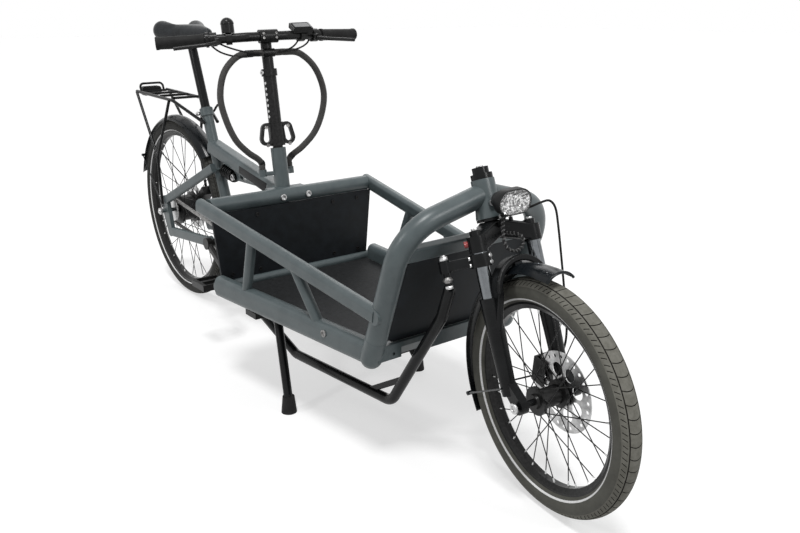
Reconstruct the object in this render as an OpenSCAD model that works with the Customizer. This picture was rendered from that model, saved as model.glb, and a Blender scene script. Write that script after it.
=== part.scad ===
// Front-loading electric cargo bike on its two-leg stand.
// X points forward, Y to the bike's left and Z up. Places along X are counted from the rear axle,
// and the whole bike is then moved back so that the origin lies on the floor under its middle.

/* [Wheels] */
// Distance between the two axles
wheel_base = 1815; // [1750:5:1900]
// Outer radius of the front tyre
front_r = 258; // [254:1:262]
// Width of the front tyre
front_tyre_w = 55; // [50:1:58]
// Outer radius of the rear tyre
rear_r = 326; // [320:1:330]
// Width of the rear tyre
rear_tyre_w = 48; // [44:1:52]
// Width of the rims
rim_w = 30; // [26:1:34]
// Height of the rims' section
rim_h = 18; // [14:1:20]
// Spokes in each wheel
spoke_count = 32; // [24:4:36]
// Diameter of a spoke
spoke_d = 2.4; // [2:0.1:2.6]
// Diameter of the front hub's flanges
front_hub_d = 62; // [54:1:70]
// Diameter of the rear gear hub
rear_hub_d = 112; // [100:1:120]
// Half the distance between a hub's flanges
flange_half = 29; // [27:0.5:31]
// Diameter of the wheel axles
axle_d = 14; // [12:0.5:15]
// Radius of the front brake disc
front_disc_r = 90; // [80:1:95]
// Radius of the rear brake disc
rear_disc_r = 80; // [75:1:90]
// Thickness of the brake discs
disc_t = 2; // [1.8:0.1:2.4]
// Distance of the discs from the wheels' middle plane
disc_y = 40; // [39:0.5:42]

/* [Steering] */
// Lean of the head tube from upright in degrees
head_lean = 20; // [18:0.5:22]
// Distance of the front axle from the steering axis
fork_offset = 68; // [62:1:72]
// Distance from the front axle up to the head tube, along the steering axis
fork_drop = 392; // [385:1:405]
// Length of the head tube
head_len = 84; // [78:1:95]
// Diameter of the head tube
head_d = 52; // [48:1:56]
// Diameter of the fork's steerer
steerer_d = 28.6; // [25.4:0.2:30]
// Lean of the handlebar column from upright in degrees
column_lean = 8; // [6:0.5:10]
// Place of the column's foot along the bike
column_foot_x = 772; // [765:1:778]
// Height of the column's foot
column_foot_z = 205; // [200:1:215]
// Length of the column tube from the foot
column_len = 439; // [420:1:460]
// Diameter of the column tube
column_d = 45; // [42:1:48]
// Turn of the front wheel and the handlebar at rest in degrees, minus is to the right
steer_rest = -9; // [-12:1:0]
// Reach of the two steering arms from their axes
arm_reach = 127; // [124:1:130]
// How far the arms point behind square, in degrees
arm_back = 8; // [6:1:10]
// Diameter of the steering rod
rod_d = 26; // [24:1:28]

/* [Fork] */
// Half the distance between the fork's legs
leg_half = 70; // [68:1:74]
// Distance of the legs ahead of the steering axis
leg_lead = 37; // [34:1:40]
// Diameter of the stanchions
stanchion_d = 30; // [28:1:32]
// Diameter of the lower legs at their top
lower_leg_d = 42; // [38:1:44]
// Diameter of the lower legs at their foot
leg_low_d = 32; // [30:1:36]

/* [Handlebar] */
// Height of the bar above the column's foot, along the column
bar_rise = 756; // [735:1:775]
// Distance of the bar ahead of the column
bar_lead = 24; // [20:1:30]
// Half the width of the bar
bar_half = 300; // [285:1:315]
// How far the bar's ends sweep back
bar_sweep = 67; // [50:1:75]
// Diameter of the bar
bar_d = 26; // [25:0.2:27]
// Diameter of the grips
grip_d = 36; // [32:1:38]
// Length of a grip
grip_len = 125; // [110:1:135]

/* [Cargo bay] */
// Height of the lower side tubes' middle
bay_z = 292; // [285:1:300]
// Place of the lower tubes' rear ends
bay_rear_x = 819; // [812:1:825]
// Half the bay's width at the lower tubes' rear ends
bay_rear_half = 263; // [250:1:275]
// Place of the arch's feet
bay_front_x = 1465; // [1450:1:1475]
// Half the bay's width at the arch
bay_front_half = 208; // [200:1:215]
// Height of the lower tubes' section
lower_tube_h = 60; // [54:1:64]
// Width of the lower tubes' section
lower_tube_w = 40; // [36:1:44]
// Place of the bay's rear top bar
top_bar_x = 780; // [776:1:784]
// Height of the bay's rear top bar
top_bar_z = 511; // [500:1:520]
// Half the length of the rear top bar
top_bar_half = 279; // [265:1:290]
// Diameter of the rear top bar
top_bar_d = 45; // [42:1:48]
// Height of the slanting rails' section
rail_h = 40; // [36:1:46]
// Width of the slanting rails' section
rail_w = 28; // [24:1:32]
// Height of the slanting rails' front ends
rail_front_z = 396; // [380:1:410]
// Diameter of the braces
brace_d = 27; // [24:1:30]
// Lean of the front arch from upright in degrees
arch_lean = 20; // [18:0.5:22]
// Diameter of the front arch
arch_d = 50; // [46:1:52]
// Height of the arch's shoulders along its own plane
arch_shoulder = 322; // [310:1:330]
// Bend radius of the arch's shoulders
arch_bend = 115; // [100:1:125]
// Thickness of the bay's boards
board_t = 9; // [7:0.5:11]

/* [Rear frame] */
// Distance of the seat tube's axis from the rear tyre
seat_room = 26.3; // [25:0.1:30]
// Height of the bottom bracket
bb_z = 290; // [285:1:295]
// Lean of the seat tube from upright in degrees
seat_lean = 20; // [19:0.5:21]
// Height of the seat tube's top
seat_top_z = 713; // [700:1:730]
// Diameter of the seat tube
seat_tube_d = 36; // [34:0.5:38]
// Diameter of the seat post
seat_post_d = 30; // [27:0.2:31]
// Height of the saddle's top
saddle_z = 991; // [970:1:1005]
// Half the distance between the dropouts
dropout_half = 75; // [73:1:78]
// Length of the cranks
crank_len = 170; // [165:1:175]
// Half the distance between the crank arms
crank_half = 98; // [96:1:102]
// Radius of the chainring
chainring_r = 33; // [31:1:36]
// Radius of the rear sprocket
sprocket_r = 42; // [38:1:46]
// Distance of the chain from the bike's middle plane
chain_y = 50; // [49:0.5:52]

/* [Rack and stand] */
// Height of the rack's platform above the rear mudguard
rack_rise = 71; // [60:1:80]
// Half the distance between the rack's side rails
rack_half = 58; // [54:1:62]
// Diameter of the rack's tubes
rack_d = 11; // [10:0.5:13]
// Place of the stand's pivot
stand_x = 980; // [970:1:990]
// Height of the stand's pivot
stand_z = 222; // [216:1:226]
// How far the stand's feet are ahead of its pivot
stand_reach = 115; // [100:1:125]
// Half the distance between the stand's feet
foot_half = 221; // [210:1:230]

/* [Hidden] */
$fn = 64;

// Finishes
frame_grey = [0.31, 0.35, 0.36];
satin_black = [0.08, 0.08, 0.09];
board_black = [0.06, 0.065, 0.07];
bright_steel = [0.72, 0.73, 0.75];
tyre_grey = [0.2, 0.19, 0.18];
lamp_clear = [0.85, 0.88, 0.9];
lamp_red = [0.7, 0.05, 0.05];

// Gaps: between pieces that move past each other, and at a seat that only touches
run_gap = 0.4;
seat_gap = 0.2;

// The mudguards' sections follow the tyres at this distance
guard_gap = 13;
guard_t = 2;
guard_rear_r = rear_r - rear_tyre_w / 2;
rear_guard_out = rear_r + guard_gap + guard_t;
rack_z = rear_r + rear_guard_out + rack_rise;
bb_x = (rear_r + seat_room + (rear_r - bb_z) * sin(seat_lean)) / cos(seat_lean);
bike_shift = -(wheel_base + front_r - rear_guard_out) / 2;

// Steering axes
head_x = wheel_base - fork_offset * cos(head_lean) - fork_drop * sin(head_lean);
head_z = front_r - fork_offset * sin(head_lean) + fork_drop * cos(head_lean);
arm_tip = [-sin(arm_back) * arm_reach, -cos(arm_back) * arm_reach];
ball_drop = 82;

// Unit vector along v
function unit(v) = v / norm(v);

// Outline of a w by h rectangle with rounded corners
function rounded(w, h, r, n = 5) = [
    for (c = [[1, 1, 0], [-1, 1, 90], [-1, -1, 180], [1, -1, 270]])
        for (i = [0 : n])
            let (a = c[2] + 90 * i / n)
                [c[0] * (w / 2 - r) + r * cos(a), c[1] * (h / 2 - r) + r * sin(a)]
];

// Point of the seat tube's and the column's axis at height z
function seat_at(z) = [bb_x - tan(seat_lean) * (z - bb_z), 0, z];
function column_at(z) = [column_foot_x - tan(column_lean) * (z - column_foot_z), 0, z];

// Half the bay's width along the lower tubes and along the slanting rails
function bay_half(x) = bay_rear_half
    + (bay_front_half - bay_rear_half) * (x - bay_rear_x) / (bay_front_x - bay_rear_x);
rail_front_x = bay_front_x + (rail_front_z - bay_z) * tan(arch_lean);
rail_front_half = bay_front_half + rail_w / 2;
function rail_half(x) = top_bar_half
    + (rail_front_half - top_bar_half) * (x - top_bar_x) / (rail_front_x - top_bar_x);
function rail_z(x) = top_bar_z + (rail_front_z - top_bar_z) * (x - top_bar_x) / (rail_front_x - top_bar_x);

// Point of the arch's plane, y across the bike and v up the plane
function arch_at(y, v) = [bay_front_x + v * sin(arch_lean), y, bay_z + v * cos(arch_lean)];

// Moves a piece from the rear axle's frame to the bike's own
module bike() translate([bike_shift, 0, 0]) children();

// The same piece on the right and on the left
module both_sides() {
    children();
    mirror([0, 1, 0]) children();
}

// Frame with its origin at p, its Z along z and its X as near to x as that allows
module placed(p, z, x) {
    zu = unit(z);
    yu = unit(cross(zu, x));
    xu = cross(yu, zu);
    multmatrix([
        [xu[0], yu[0], zu[0], p[0]],
        [xu[1], yu[1], zu[1], p[1]],
        [xu[2], yu[2], zu[2], p[2]],
        [0, 0, 0, 1]
    ]) children();
}

// Any direction that isn't along v
function aside(v) = abs(unit(v)[2]) > 0.9 ? [1, 0, 0] : [0, 0, 1];

// Round bar between two points
module bar(a, b, d) placed(a, b - a, aside(b - a)) cylinder(h = norm(b - a), d = d);

// Tapered bar between two points
module taper(a, b, d1, d2) placed(a, b - a, aside(b - a)) cylinder(h = norm(b - a), d1 = d1, d2 = d2);

// Bar with a rounded rectangle as its section, w across and h towards up
module beam(a, b, w, h, r, up = [0, 0, 1])
    placed(a, b - a, up) linear_extrude(norm(b - a)) polygon(rounded(h, w, r));

// Cylinder across the bike, centred on p
module across(p, len, d) translate(p) rotate([90, 0, 0]) cylinder(h = len, d = d, center = true);

// Tangent length of a bend of radius r between the directions u and v
function tangent(u, v, r) = r / tan(acos(u * v) / 2);

// Round tube through the points p, with each inner corner bent to radius r. The bends are a shade thicker
// than the straights, which reach a little way into them.
bend_over = 0.2;
bend_lap = 1;
module bent_tube(p, d, r) {
    last = len(p) - 1;
    for (i = [0 : last - 1]) {
        u = unit(p[i + 1] - p[i]);
        from = i == 0 ? p[0] : p[i] + u * (tangent(unit(p[i - 1] - p[i]), u, r) - bend_lap);
        to = i == last - 1 ? p[last] : p[i + 1] - u * (tangent(-u, unit(p[i + 2] - p[i + 1]), r) - bend_lap);
        bar(from, to, d);
    }
    for (i = [1 : last - 1]) {
        u = unit(p[i - 1] - p[i]);
        v = unit(p[i + 1] - p[i]);
        turn = acos(u * v);
        centre = p[i] + unit(u + v) * r / sin(turn / 2);
        x = unit(p[i] + u * tangent(u, v, r) - centre);
        placed(centre, cross(x, -u), x)
            rotate_extrude(angle = 180 - turn) translate([r, 0]) circle(d = d + bend_over);
    }
}

// Tube swept along points by rings of eight corners, for hoses and cables
function ring_at(p, i, d) =
    let (
        z = unit(p[min(i + 1, len(p) - 1)] - p[max(i - 1, 0)]),
        y = unit(cross(z, [0, 1, 0.2])),
        x = cross(y, z)
    )
    [for (k = [0 : 7]) p[i] + d / 2 * (x * cos(45 * k) + y * sin(45 * k))];
module hose(p, d) {
    n = len(p);
    corners = [for (i = [0 : n - 1]) each ring_at(p, i, d)];
    sides = [
        for (i = [0 : n - 2]) for (k = [0 : 7])
            [8 * i + k, 8 * i + (k + 1) % 8, 8 * i + 8 + (k + 1) % 8, 8 * i + 8 + k]
    ];
    start = [[for (k = [7 : -1 : 0]) k]];
    end = [[for (k = [0 : 7]) 8 * (n - 1) + k]];
    polyhedron(corners, [for (f = concat(sides, start, end)) [for (k = [len(f) - 1 : -1 : 0]) f[k]]]);
}

// Point on a smooth curve through the points p, t counted in points
function curve_at(p, t) =
    let (
        i = min(floor(t), len(p) - 2),
        f = t - i,
        a = p[max(i - 1, 0)],
        b = p[i],
        c = p[i + 1],
        e = p[min(i + 2, len(p) - 1)]
    )
    b + f * (c - a) / 2 + f * f * (a - 2.5 * b + 2 * c - 0.5 * e)
        + f * f * f * (1.5 * b - 1.5 * c + 0.5 * e - 0.5 * a);
function smooth(p, steps) = [for (i = [0 : (len(p) - 1) * steps]) curve_at(p, i / steps)];

// Frames of the pieces that turn: head tube, fork, handlebar
module head_frame() translate([head_x, 0, head_z]) rotate([0, -head_lean, 0]) children();
module fork_frame() head_frame() rotate([0, 0, steer_rest]) children();
module column_frame() translate([column_foot_x, 0, column_foot_z]) rotate([0, -column_lean, 0]) children();
module bar_frame() column_frame() rotate([0, 0, steer_rest]) children();
module front_wheel_frame() fork_frame() translate([fork_offset, 0, -fork_drop]) children();
module rear_wheel_frame() translate([0, 0, rear_r]) children();

// Places in the bike's frame of points in the fork's and the handlebar's frames
function turned(p, a) = [p[0] * cos(a) - p[1] * sin(a), p[0] * sin(a) + p[1] * cos(a), p[2]];
function leaned(p, a) = [p[0] * cos(a) - p[2] * sin(a), p[1], p[0] * sin(a) + p[2] * cos(a)];
function fork_at(p, turn = steer_rest) = [head_x, 0, head_z] + leaned(turned(p, turn), head_lean);
function bar_at(p) = [column_foot_x, 0, column_foot_z] + leaned(turned(p, steer_rest), column_lean);

// Solid of revolution about the wheel's axle, its outline given as radius and place across
module about_axle(outline, angle = 360, start = 0)
    rotate([90, 0, 0]) rotate_extrude(angle = angle, start = start) polygon(outline);

// Cargo bay

// Rounded foot of an arch leg, which closes the lower tube
arch_foot_d = arch_d + 1;
arch_foot_low = -14;
arch_foot_top = 40;
module arch_foot() {
    r = arch_foot_d / 2;
    h = arch_foot_top - arch_foot_low;
    placed(arch_at(-bay_front_half, arch_foot_low), [sin(arch_lean), 0, cos(arch_lean)], [1, 0, 0])
        rotate_extrude() polygon(concat(
            [[0, h], [r, h]],
            [for (i = [0 : 6]) r * [cos(14 * i), -sin(14 * i)]],
            [[0, -r * sin(84)]]
        ));
}

module lower_tube_shape() {
    beam([bay_rear_x, -bay_rear_half, bay_z], [bay_front_x, -bay_front_half, bay_z],
        lower_tube_w, lower_tube_h, lower_tube_w / 2 - 2);
    arch_foot();
}

// Slanting rail, from over the top bar's end to a rounded nose on the arch's outer side
rail_rear_x = top_bar_x - top_bar_d / 2 + 2;
rail_rear = [rail_rear_x, -rail_half(rail_rear_x), rail_z(rail_rear_x)];
rail_nose = [rail_front_x, -rail_front_half, rail_front_z];
module side_rail_shape() {
    beam(rail_rear, rail_nose, rail_w, rail_h, 12);
    across(rail_nose, rail_w - 4, rail_h - 1);
}

module top_bar_shape() translate([top_bar_x, 0, top_bar_z]) rotate([90, 50, 0])
    cylinder(h = 2 * top_bar_half, d = top_bar_d, center = true);

arch_rise = 58;
module arch_shape() {
    bent_tube([
        arch_at(-bay_front_half, 0), arch_at(-bay_front_half, arch_shoulder),
        arch_at(-head_d / 4, arch_shoulder + arch_rise)
    ], arch_d, arch_bend);
}

// Head tube with its flared foot and the boss of the ring bolt at its front right
ring_boss = [-26, 30, 35];
ring_boss_d = 14;
module head_shape() head_frame() {
    cylinder(h = head_len, d = head_d);
    cylinder(h = 45, d1 = head_d + 12, d2 = head_d - 1);
    rotate([0, 0, ring_boss[0]]) translate([steerer_d, 0, ring_boss[1]]) rotate([0, 90, 0])
        cylinder(h = ring_boss[2] - steerer_d, d = ring_boss_d);
}

module lower_tubes() color(frame_grey) bike() both_sides() lower_tube_shape();

module side_rails() color(frame_grey) bike() both_sides() side_rail_shape();

brace_rear = [1016, 948];
brace_front = [1193, 1280];

module bay_braces() color(frame_grey) bike() both_sides() difference() {
    for (b = [brace_rear, brace_front]) {
        top = [b[0], -rail_half(b[0]), rail_z(b[0])];
        foot = [b[1], -bay_half(b[1]), bay_z];
        placed(top, foot - top, [1, 1, 0]) cylinder(h = norm(foot - top), d = brace_d);
    }
    side_rail_shape();
    lower_tube_shape();
}

module front_arch() color(frame_grey) bike() both_sides() difference() {
    arch_shape();
    lower_tube_shape();
    side_rail_shape();
    head_shape();
}

module head_tube() color(frame_grey) bike() difference() {
    head_shape();
    head_frame() translate([0, 0, -1]) cylinder(h = head_len + 2, d = steerer_d + 2 * run_gap);
}

lower_cross_x = 797;
lower_cross_z = 282;
lower_cross_d = 30;
front_rail_h = 36;
front_rail_t = 22;
front_rail_x = bay_front_x + 12;
front_hole_half = 165;
front_hole_d = 8;
upper_cross_v = 262;
upper_cross_h = 34;

module cross_rails() color(frame_grey) bike() {
    difference() {
        top_bar_shape();
        both_sides() beam(rail_rear, rail_nose, rail_w, 2 * top_bar_d, 1);
    }
    difference() {
        across([lower_cross_x, 0, lower_cross_z], 2 * (bay_rear_half + 6), lower_cross_d);
        both_sides() lower_tube_shape();
    }
    difference() {
        translate([front_rail_x, 0, bay_z])
            cube([front_rail_t, 2 * bay_front_half, front_rail_h], center = true);
        both_sides() lower_tube_shape();
        both_sides() arch_shape();
        both_sides() translate([front_rail_x, front_hole_half, bay_z - 6]) rotate([0, 90, 0])
            cylinder(h = 2 * front_rail_t, d = front_hole_d, center = true);
        rod_relief();
    }
    difference() {
        beam(arch_at(-bay_front_half, upper_cross_v), arch_at(bay_front_half, upper_cross_v),
            24, upper_cross_h, 5, [sin(arch_lean), 0, cos(arch_lean)]);
        both_sides() arch_shape();
    }
}

floor_z = 268;
foot_room = 9;
module floor_board() color(board_black) bike() {
    rear_x = lower_cross_x + lower_cross_d / 2 + seat_gap;
    front_x = front_rail_x - front_rail_t / 2 - seat_gap;
    edge = lower_tube_w / 2 + 1;
    difference() {
        translate([0, 0, floor_z]) linear_extrude(board_t) polygon([
            for (s = [[rear_x, -1], [front_x, -1], [front_x, 1], [rear_x, 1]])
                [s[0], s[1] * (bay_half(s[0]) - edge)]
        ]);
        both_sides() translate([bay_front_x + arch_foot_low * sin(arch_lean), -bay_front_half, floor_z - 1])
            cylinder(h = board_t + 2, d = arch_foot_d + foot_room);
    }
}

// Half the rear board's width at its lower and its upper edge
rear_board_half = [249, 268];
module rear_board() color(board_black) bike() difference() {
    low = lower_cross_z + lower_cross_d / 2 + seat_gap;
    before_bar = lower_cross_x - board_t / 2 - top_bar_x;
    high = top_bar_z - sqrt(pow(top_bar_d / 2, 2) - pow(before_bar, 2)) - seat_gap;
    translate([lower_cross_x - board_t / 2, 0, 0]) rotate([90, 0, 90]) linear_extrude(board_t) polygon([
        [-rear_board_half[0], low], [rear_board_half[0], low],
        [rear_board_half[1], high], [-rear_board_half[1], high]
    ]);
    both_sides() side_rail_shape();
}

module front_board() color(board_black) bike() {
    low = (front_rail_h / 2 + seat_gap) / cos(arch_lean) + board_t / 2 * tan(arch_lean);
    high = upper_cross_v - upper_cross_h / 2 - seat_gap;
    half = bay_front_half - arch_foot_d / 2 - seat_gap;
    translate(arch_at(0, 0)) rotate([0, arch_lean, 0]) rotate([90, 0, 90])
        translate([0, 0, -board_t / 2]) linear_extrude(board_t) translate([0, (high + low) / 2])
            polygon(rounded(2 * half, high - low, 30));
}

// Rear frame

motor_d = 146;
motor_w = 80;
motor_lead = 62;
bb_shell_d = 66;
pivot = [bb_x - 44, 0, bb_z - 8];
pivot_d = 14;
beam_z = 262;
beam_h = 60;
top_tube_rear_z = 588;
top_tube_front_z = 505;

module seat_tube_shape() bar(seat_at(bb_z), seat_at(seat_top_z), seat_tube_d);
module column_shape() column_frame() translate([0, 0, 22]) cylinder(h = column_len - 22, d = column_d);
module motor_shape() {
    across([bb_x, 0, bb_z], motor_w, bb_shell_d);
    across([bb_x + motor_lead, 0, bb_z + 8], motor_w, motor_d);
}

module seat_tube() color(frame_grey) bike() difference() {
    union() {
        seat_tube_shape();
        bar(seat_at(seat_top_z - 26), seat_at(seat_top_z - 2), seat_tube_d + 8);
        hull() {
            across(pivot, 80, 30);
            across(seat_at(bb_z + 90), 30, 30);
        }
    }
    bar(seat_at(seat_top_z - 120), seat_at(seat_top_z + 5), seat_post_d + 2 * seat_gap);
    across(pivot, 200, pivot_d + 2 * seat_gap);
    motor_shape();
}

shock_rear = [bb_x - 46, 0, 520];
shock_front = [bb_x + 42, 0, 508];
gusset_t = 12;

// Ends of the top tube and the point of its axis at x
top_tube_rear = seat_at(top_tube_rear_z);
top_tube_front = column_at(top_tube_front_z) - [column_d / 4, 0, 0];
function top_tube_at(x) = top_tube_rear
    + (top_tube_front - top_tube_rear) * (x - top_tube_rear[0]) / (top_tube_front[0] - top_tube_rear[0]);

// Plate under the top tube that holds the shock's front eye
module gusset(grow = 0) hull() {
    across(shock_front, gusset_t + grow, 20 + grow);
    across(top_tube_at(bb_x + 52), gusset_t + grow, 16 + grow);
    across(top_tube_at(bb_x + 190) - [0, 0, 22], gusset_t + grow, 16 + grow);
}

module top_tube() color(frame_grey) bike() difference() {
    union() {
        beam(top_tube_rear, top_tube_front, 52, 46, 14);
        gusset();
    }
    seat_tube_shape();
    column_shape();
    hull() for (x = [bb_x + 84, bb_x + 116]) across(top_tube_at(x) - [0, 0, 37], 40, 11);
}

bar_bracket_h = 32;

// Socket beside the column that a cable bundle goes into
module cable_gland() {
    foot = loop_route[len(loop_route) - 1];
    top = loop_low - run_gap;
    translate([foot[0], foot[1], top - 20]) cylinder(h = 20, d = sleeve_d + 5);
    beam([0, -column_d / 3, top - 12], [foot[0], foot[1], top - 12], 12, 12, 3);
}

module column_tube() color(frame_grey) bike() difference() {
    union() {
        column_shape();
        column_frame() both_sides() cable_gland();
        for (p = [[top_bar_x, top_bar_z], [lower_cross_x, lower_cross_z]]) {
            x = column_at(p[1])[0];
            translate([x, -60, p[1] - bar_bracket_h / 2]) cube([p[0] - x, 120, bar_bracket_h]);
        }
    }
    column_frame() translate([0, 0, -10]) cylinder(h = column_len + 20, d = stem_d + 2 * run_gap);
    top_bar_shape();
    across([lower_cross_x, 0, lower_cross_z], 2 * bay_rear_half, lower_cross_d);
    rear_board_room();
}

// Space of the rear board, kept free of the column's brackets
module rear_board_room()
    translate([lower_cross_x - board_t / 2 - 1, -bay_rear_half, lower_cross_z])
        cube([board_t + 2, 2 * bay_rear_half, top_bar_z - lower_cross_z]);

module main_beam() color(frame_grey) bike() difference() {
    beam([bb_x + motor_lead, 0, beam_z], [column_at(beam_z)[0] - column_d / 4, 0, beam_z], 58, beam_h, 16);
    motor_shape();
    column_shape();
}

yoke = [bb_x - 26, 0, 533];
stay_half = 48;
stay_foot_z = rear_r + 40;
chain_stay_z = rear_r - 72;
pivot_half = 72;

module stay_shape(grow = 0)
    beam([6, -dropout_half, stay_foot_z], [yoke[0], -stay_half, yoke[2]], 18 + grow, 30 + grow, 6);

module upper_stays() color(frame_grey) bike() {
    both_sides() difference() {
        stay_shape();
        across([0, 0, rear_r], 300, 60);
    }
    across(shock_rear, 2 * (stay_half - 9), 14);
}

module chain_stays() color(frame_grey) bike() {
    both_sides() difference() {
        union() {
            beam([30, -dropout_half, chain_stay_z], [pivot[0], -pivot_half, pivot[2]], 20, 34, 8);
            across([pivot[0], -pivot_half, pivot[2]], 20, 38);
            hull() for (p = [[6, stay_foot_z], [0, rear_r], [34, chain_stay_z]])
                across([p[0], -dropout_half, p[1]], 14, 36);
        }
        stay_shape(2 * seat_gap);
        across([0, 0, rear_r], 300, axle_d + 2 * seat_gap);
        across(pivot, 300, pivot_d + 2 * seat_gap);
    }
    across([0, 0, rear_r], 2 * dropout_half + 34, axle_d);
    across(pivot, 2 * pivot_half + 20, pivot_d);
}

// Place along the shock, u from its rear to its front eye
function shock_at(u) = shock_rear + u * (shock_front - shock_rear);

coil_turns = 6;
module shock() color(satin_black) bike() difference() {
    union() {
        bar(shock_rear, shock_front, 34);
        for (i = [0 : coil_turns - 1])
            placed(shock_at((i + 1.2) / (coil_turns + 1.4)), shock_front - shock_rear, [0, 0, 1])
                rotate_extrude() translate([19, 0]) circle(d = 7);
        across(shock_front, 22, 26);
        for (u = [0.12, 0.8]) bar(shock_at(u), shock_at(u + 0.06), 46);
    }
    across(shock_rear, 100, 14 + 2 * seat_gap);
    gusset(2 * seat_gap);
}

module motor() color(satin_black) bike() difference() {
    motor_shape();
    across([bb_x, 0, bb_z], motor_w + 10, spindle_d + 2 * run_gap);
}

// The battery stands on the main beam between the motor and the column
battery_gap = 5;
battery_h = 164;
battery_w = 92;
battery_top = beam_z + beam_h / 2 + seat_gap + battery_h;
battery_rear = bb_x + motor_lead + motor_d / 2 + battery_gap;
battery_front = column_at(battery_top)[0] - column_d / 2 / cos(column_lean) - battery_gap;
module battery() color(satin_black) bike()
    translate([battery_rear, 0, battery_top - battery_h / 2]) rotate([90, 0, 90])
        linear_extrude(battery_front - battery_rear) polygon(rounded(battery_w, battery_h, 18));

module seat_post() color(satin_black) bike() {
    head_z = saddle_z - saddle_h - seat_gap - 10;
    bar(seat_at(seat_top_z - 90), seat_at(head_z), seat_post_d);
    translate(seat_at(head_z)) cube([60, 34, 20], center = true);
}

saddle_h = 62;
module saddle() color(satin_black) bike() translate([seat_at(saddle_z - saddle_h)[0], 0, saddle_z - 28]) {
    hull() {
        translate([130, 0, -8]) scale(0.9) sphere(d = 44, $fn = 28);
        both_sides() translate([-25, 52, -6]) sphere(d = 44, $fn = 28);
        both_sides() translate([-5, 34, 38 - saddle_h]) sphere(d = 20, $fn = 20);
    }
    both_sides() hull() {
        translate([-83, 64, -2]) sphere(d = 68, $fn = 28);
        translate([-5, 44, -8]) sphere(d = 46, $fn = 28);
    }
}

// Rack, mudguard, lamp

rack_rear_x = -225;
rack_front_x = 100;
slat_inset = 6;
rack_rail = [
    [rack_rear_x, -rack_half, rack_z], [rack_front_x, -rack_half, rack_z - 8],
    seat_at(min(rack_z - 70, seat_top_z - 45)) + [16, -(seat_tube_d + rack_d) / 2 - 0.5, 0]
];

module rack_platform() color(satin_black) bike() {
    both_sides() bent_tube(rack_rail, rack_d, 40);
    for (x = [rack_rear_x + slat_inset, -120, -20, 80])
        across([x, 0, rack_z - 2], 2 * rack_half - rack_d + 1, rack_d - 2);
    bent_tube([
        [rack_rear_x + 6, -44, rack_z - 2], [rack_rear_x - 4, -44, rack_z + 26],
        [rack_rear_x - 4, 44, rack_z + 26], [rack_rear_x + 6, 44, rack_z - 2]
    ], rack_d - 3, 14);
}

strut_foot = [-20, -dropout_half - 7, rear_r + 194];
strut_end = [2, -dropout_half - 14, rear_r + 26];

module rack_struts() color(satin_black) bike() both_sides() difference() {
    union() {
        bar([rack_rear_x + 8, -rack_half - 4, rack_z - 2], strut_foot, rack_d - 1);
        bar([rack_front_x - 20, -rack_half - 4, rack_z - 6], strut_foot, rack_d - 1);
        bar(strut_foot, strut_end, rack_d - 1);
        translate(strut_foot) sphere(d = rack_d + 3);
    }
    bent_tube(rack_rail, rack_d + 0.2, 40);
}

// Section of a mudguard over a tyre of width w, its middle at radius r
function guard_section(r, w, spread = 56, more = 0, n = 10) =
    let (out = w / 2 + guard_gap + guard_t + more, in = out - guard_t - 2 * more)
    concat(
        [for (i = [-n : n]) [r + out * cos(spread * i / n), out * sin(spread * i / n)]],
        [for (i = [n : -1 : -n]) [r + in * cos(spread * i / n), in * sin(spread * i / n)]]
    );

rear_guard_from = 42;
rear_guard_to = 164;
rear_guard_edge = guard_rear_r + 24;

module rear_guard() color(satin_black) bike() rear_wheel_frame() {
    about_axle(guard_section(guard_rear_r, rear_tyre_w), rear_guard_to - rear_guard_from, rear_guard_from);
    rivet = [cos(150) * rear_guard_edge, 0, sin(150) * rear_guard_edge];
    both_sides() {
        translate(rivet) rotate([90, 0, 0]) translate([0, 0, 26]) cylinder(h = 16, d = 10);
        bar(rivet - [0, 38, 0], [-6, -dropout_half - 11, 14], 4);
    }
}

module rear_lamp() color(lamp_red) bike()
    translate([rack_rear_x + slat_inset - (rack_d - 2) / 2 - seat_gap, 0, rack_z - 2]) rotate([0, -90, 0])
        linear_extrude(22) polygon(rounded(34, 74, 12));

// Drive

spindle_d = 24;
module chain_loop(grow) hull() {
    translate([0, rear_r]) circle(r = sprocket_r + grow, $fn = 48);
    translate([bb_x, bb_z]) circle(r = chainring_r + grow, $fn = 48);
}

module chain() color(bright_steel) bike() translate([0, -chain_y + 4, 0]) rotate([90, 0, 0])
    linear_extrude(8) difference() {
        chain_loop(9);
        chain_loop(0.3);
    }

disc_slot = 9;
module rear_caliper() color(satin_black) bike() difference() {
    translate([66, disc_y + 8.5, rear_r + 54]) rotate([0, -40, 0]) cube([60, 30, 34], center = true);
    across([0, disc_y, rear_r], disc_slot, 2 * rear_disc_r + 14);
    mirror([0, 1, 0]) stay_shape(2 * seat_gap);
}

// Bracket under the bay: a plate across the lower tubes and two wedge-shaped cheeks with the stand's pivot
cheek_y = 156;
cheek_t = 12;
cheek_ends = [stand_x - 130, stand_x + 30];
stand_plate_t = 16;
module stand_bracket() color(satin_black) bike() difference() {
    under = bay_z - lower_tube_h / 2;
    union() {
        translate([stand_x, 0, under - stand_plate_t / 2])
            cube([56, 2 * bay_half(stand_x) + 20, stand_plate_t], center = true);
        both_sides() hull() {
            across([stand_x, cheek_y, stand_z], cheek_t, 34);
            for (x = cheek_ends) across([x, cheek_y, under - 5], cheek_t, 8);
        }
    }
    both_sides() lower_tube_shape();
    across([stand_x, 0, stand_z], 500, stand_axle_d + 2 * run_gap);
}

// Wheels

// Tyre of outer radius r and width w on its rim
module tyre(r, w) difference() {
    rotate([90, 0, 0]) rotate_extrude($fn = 96) translate([r - w / 2, 0]) circle(d = w, $fn = 48);
    rotate([90, 0, 0]) cylinder(h = 2 * w, r = rim_seat(r, w), center = true);
}

// Radius where the tyre sits on the rim
function rim_seat(r, w) = r - w + 7;

// Half the hubs' width, up to the brake discs
hub_half = disc_y - disc_t / 2 - seat_gap;

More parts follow.
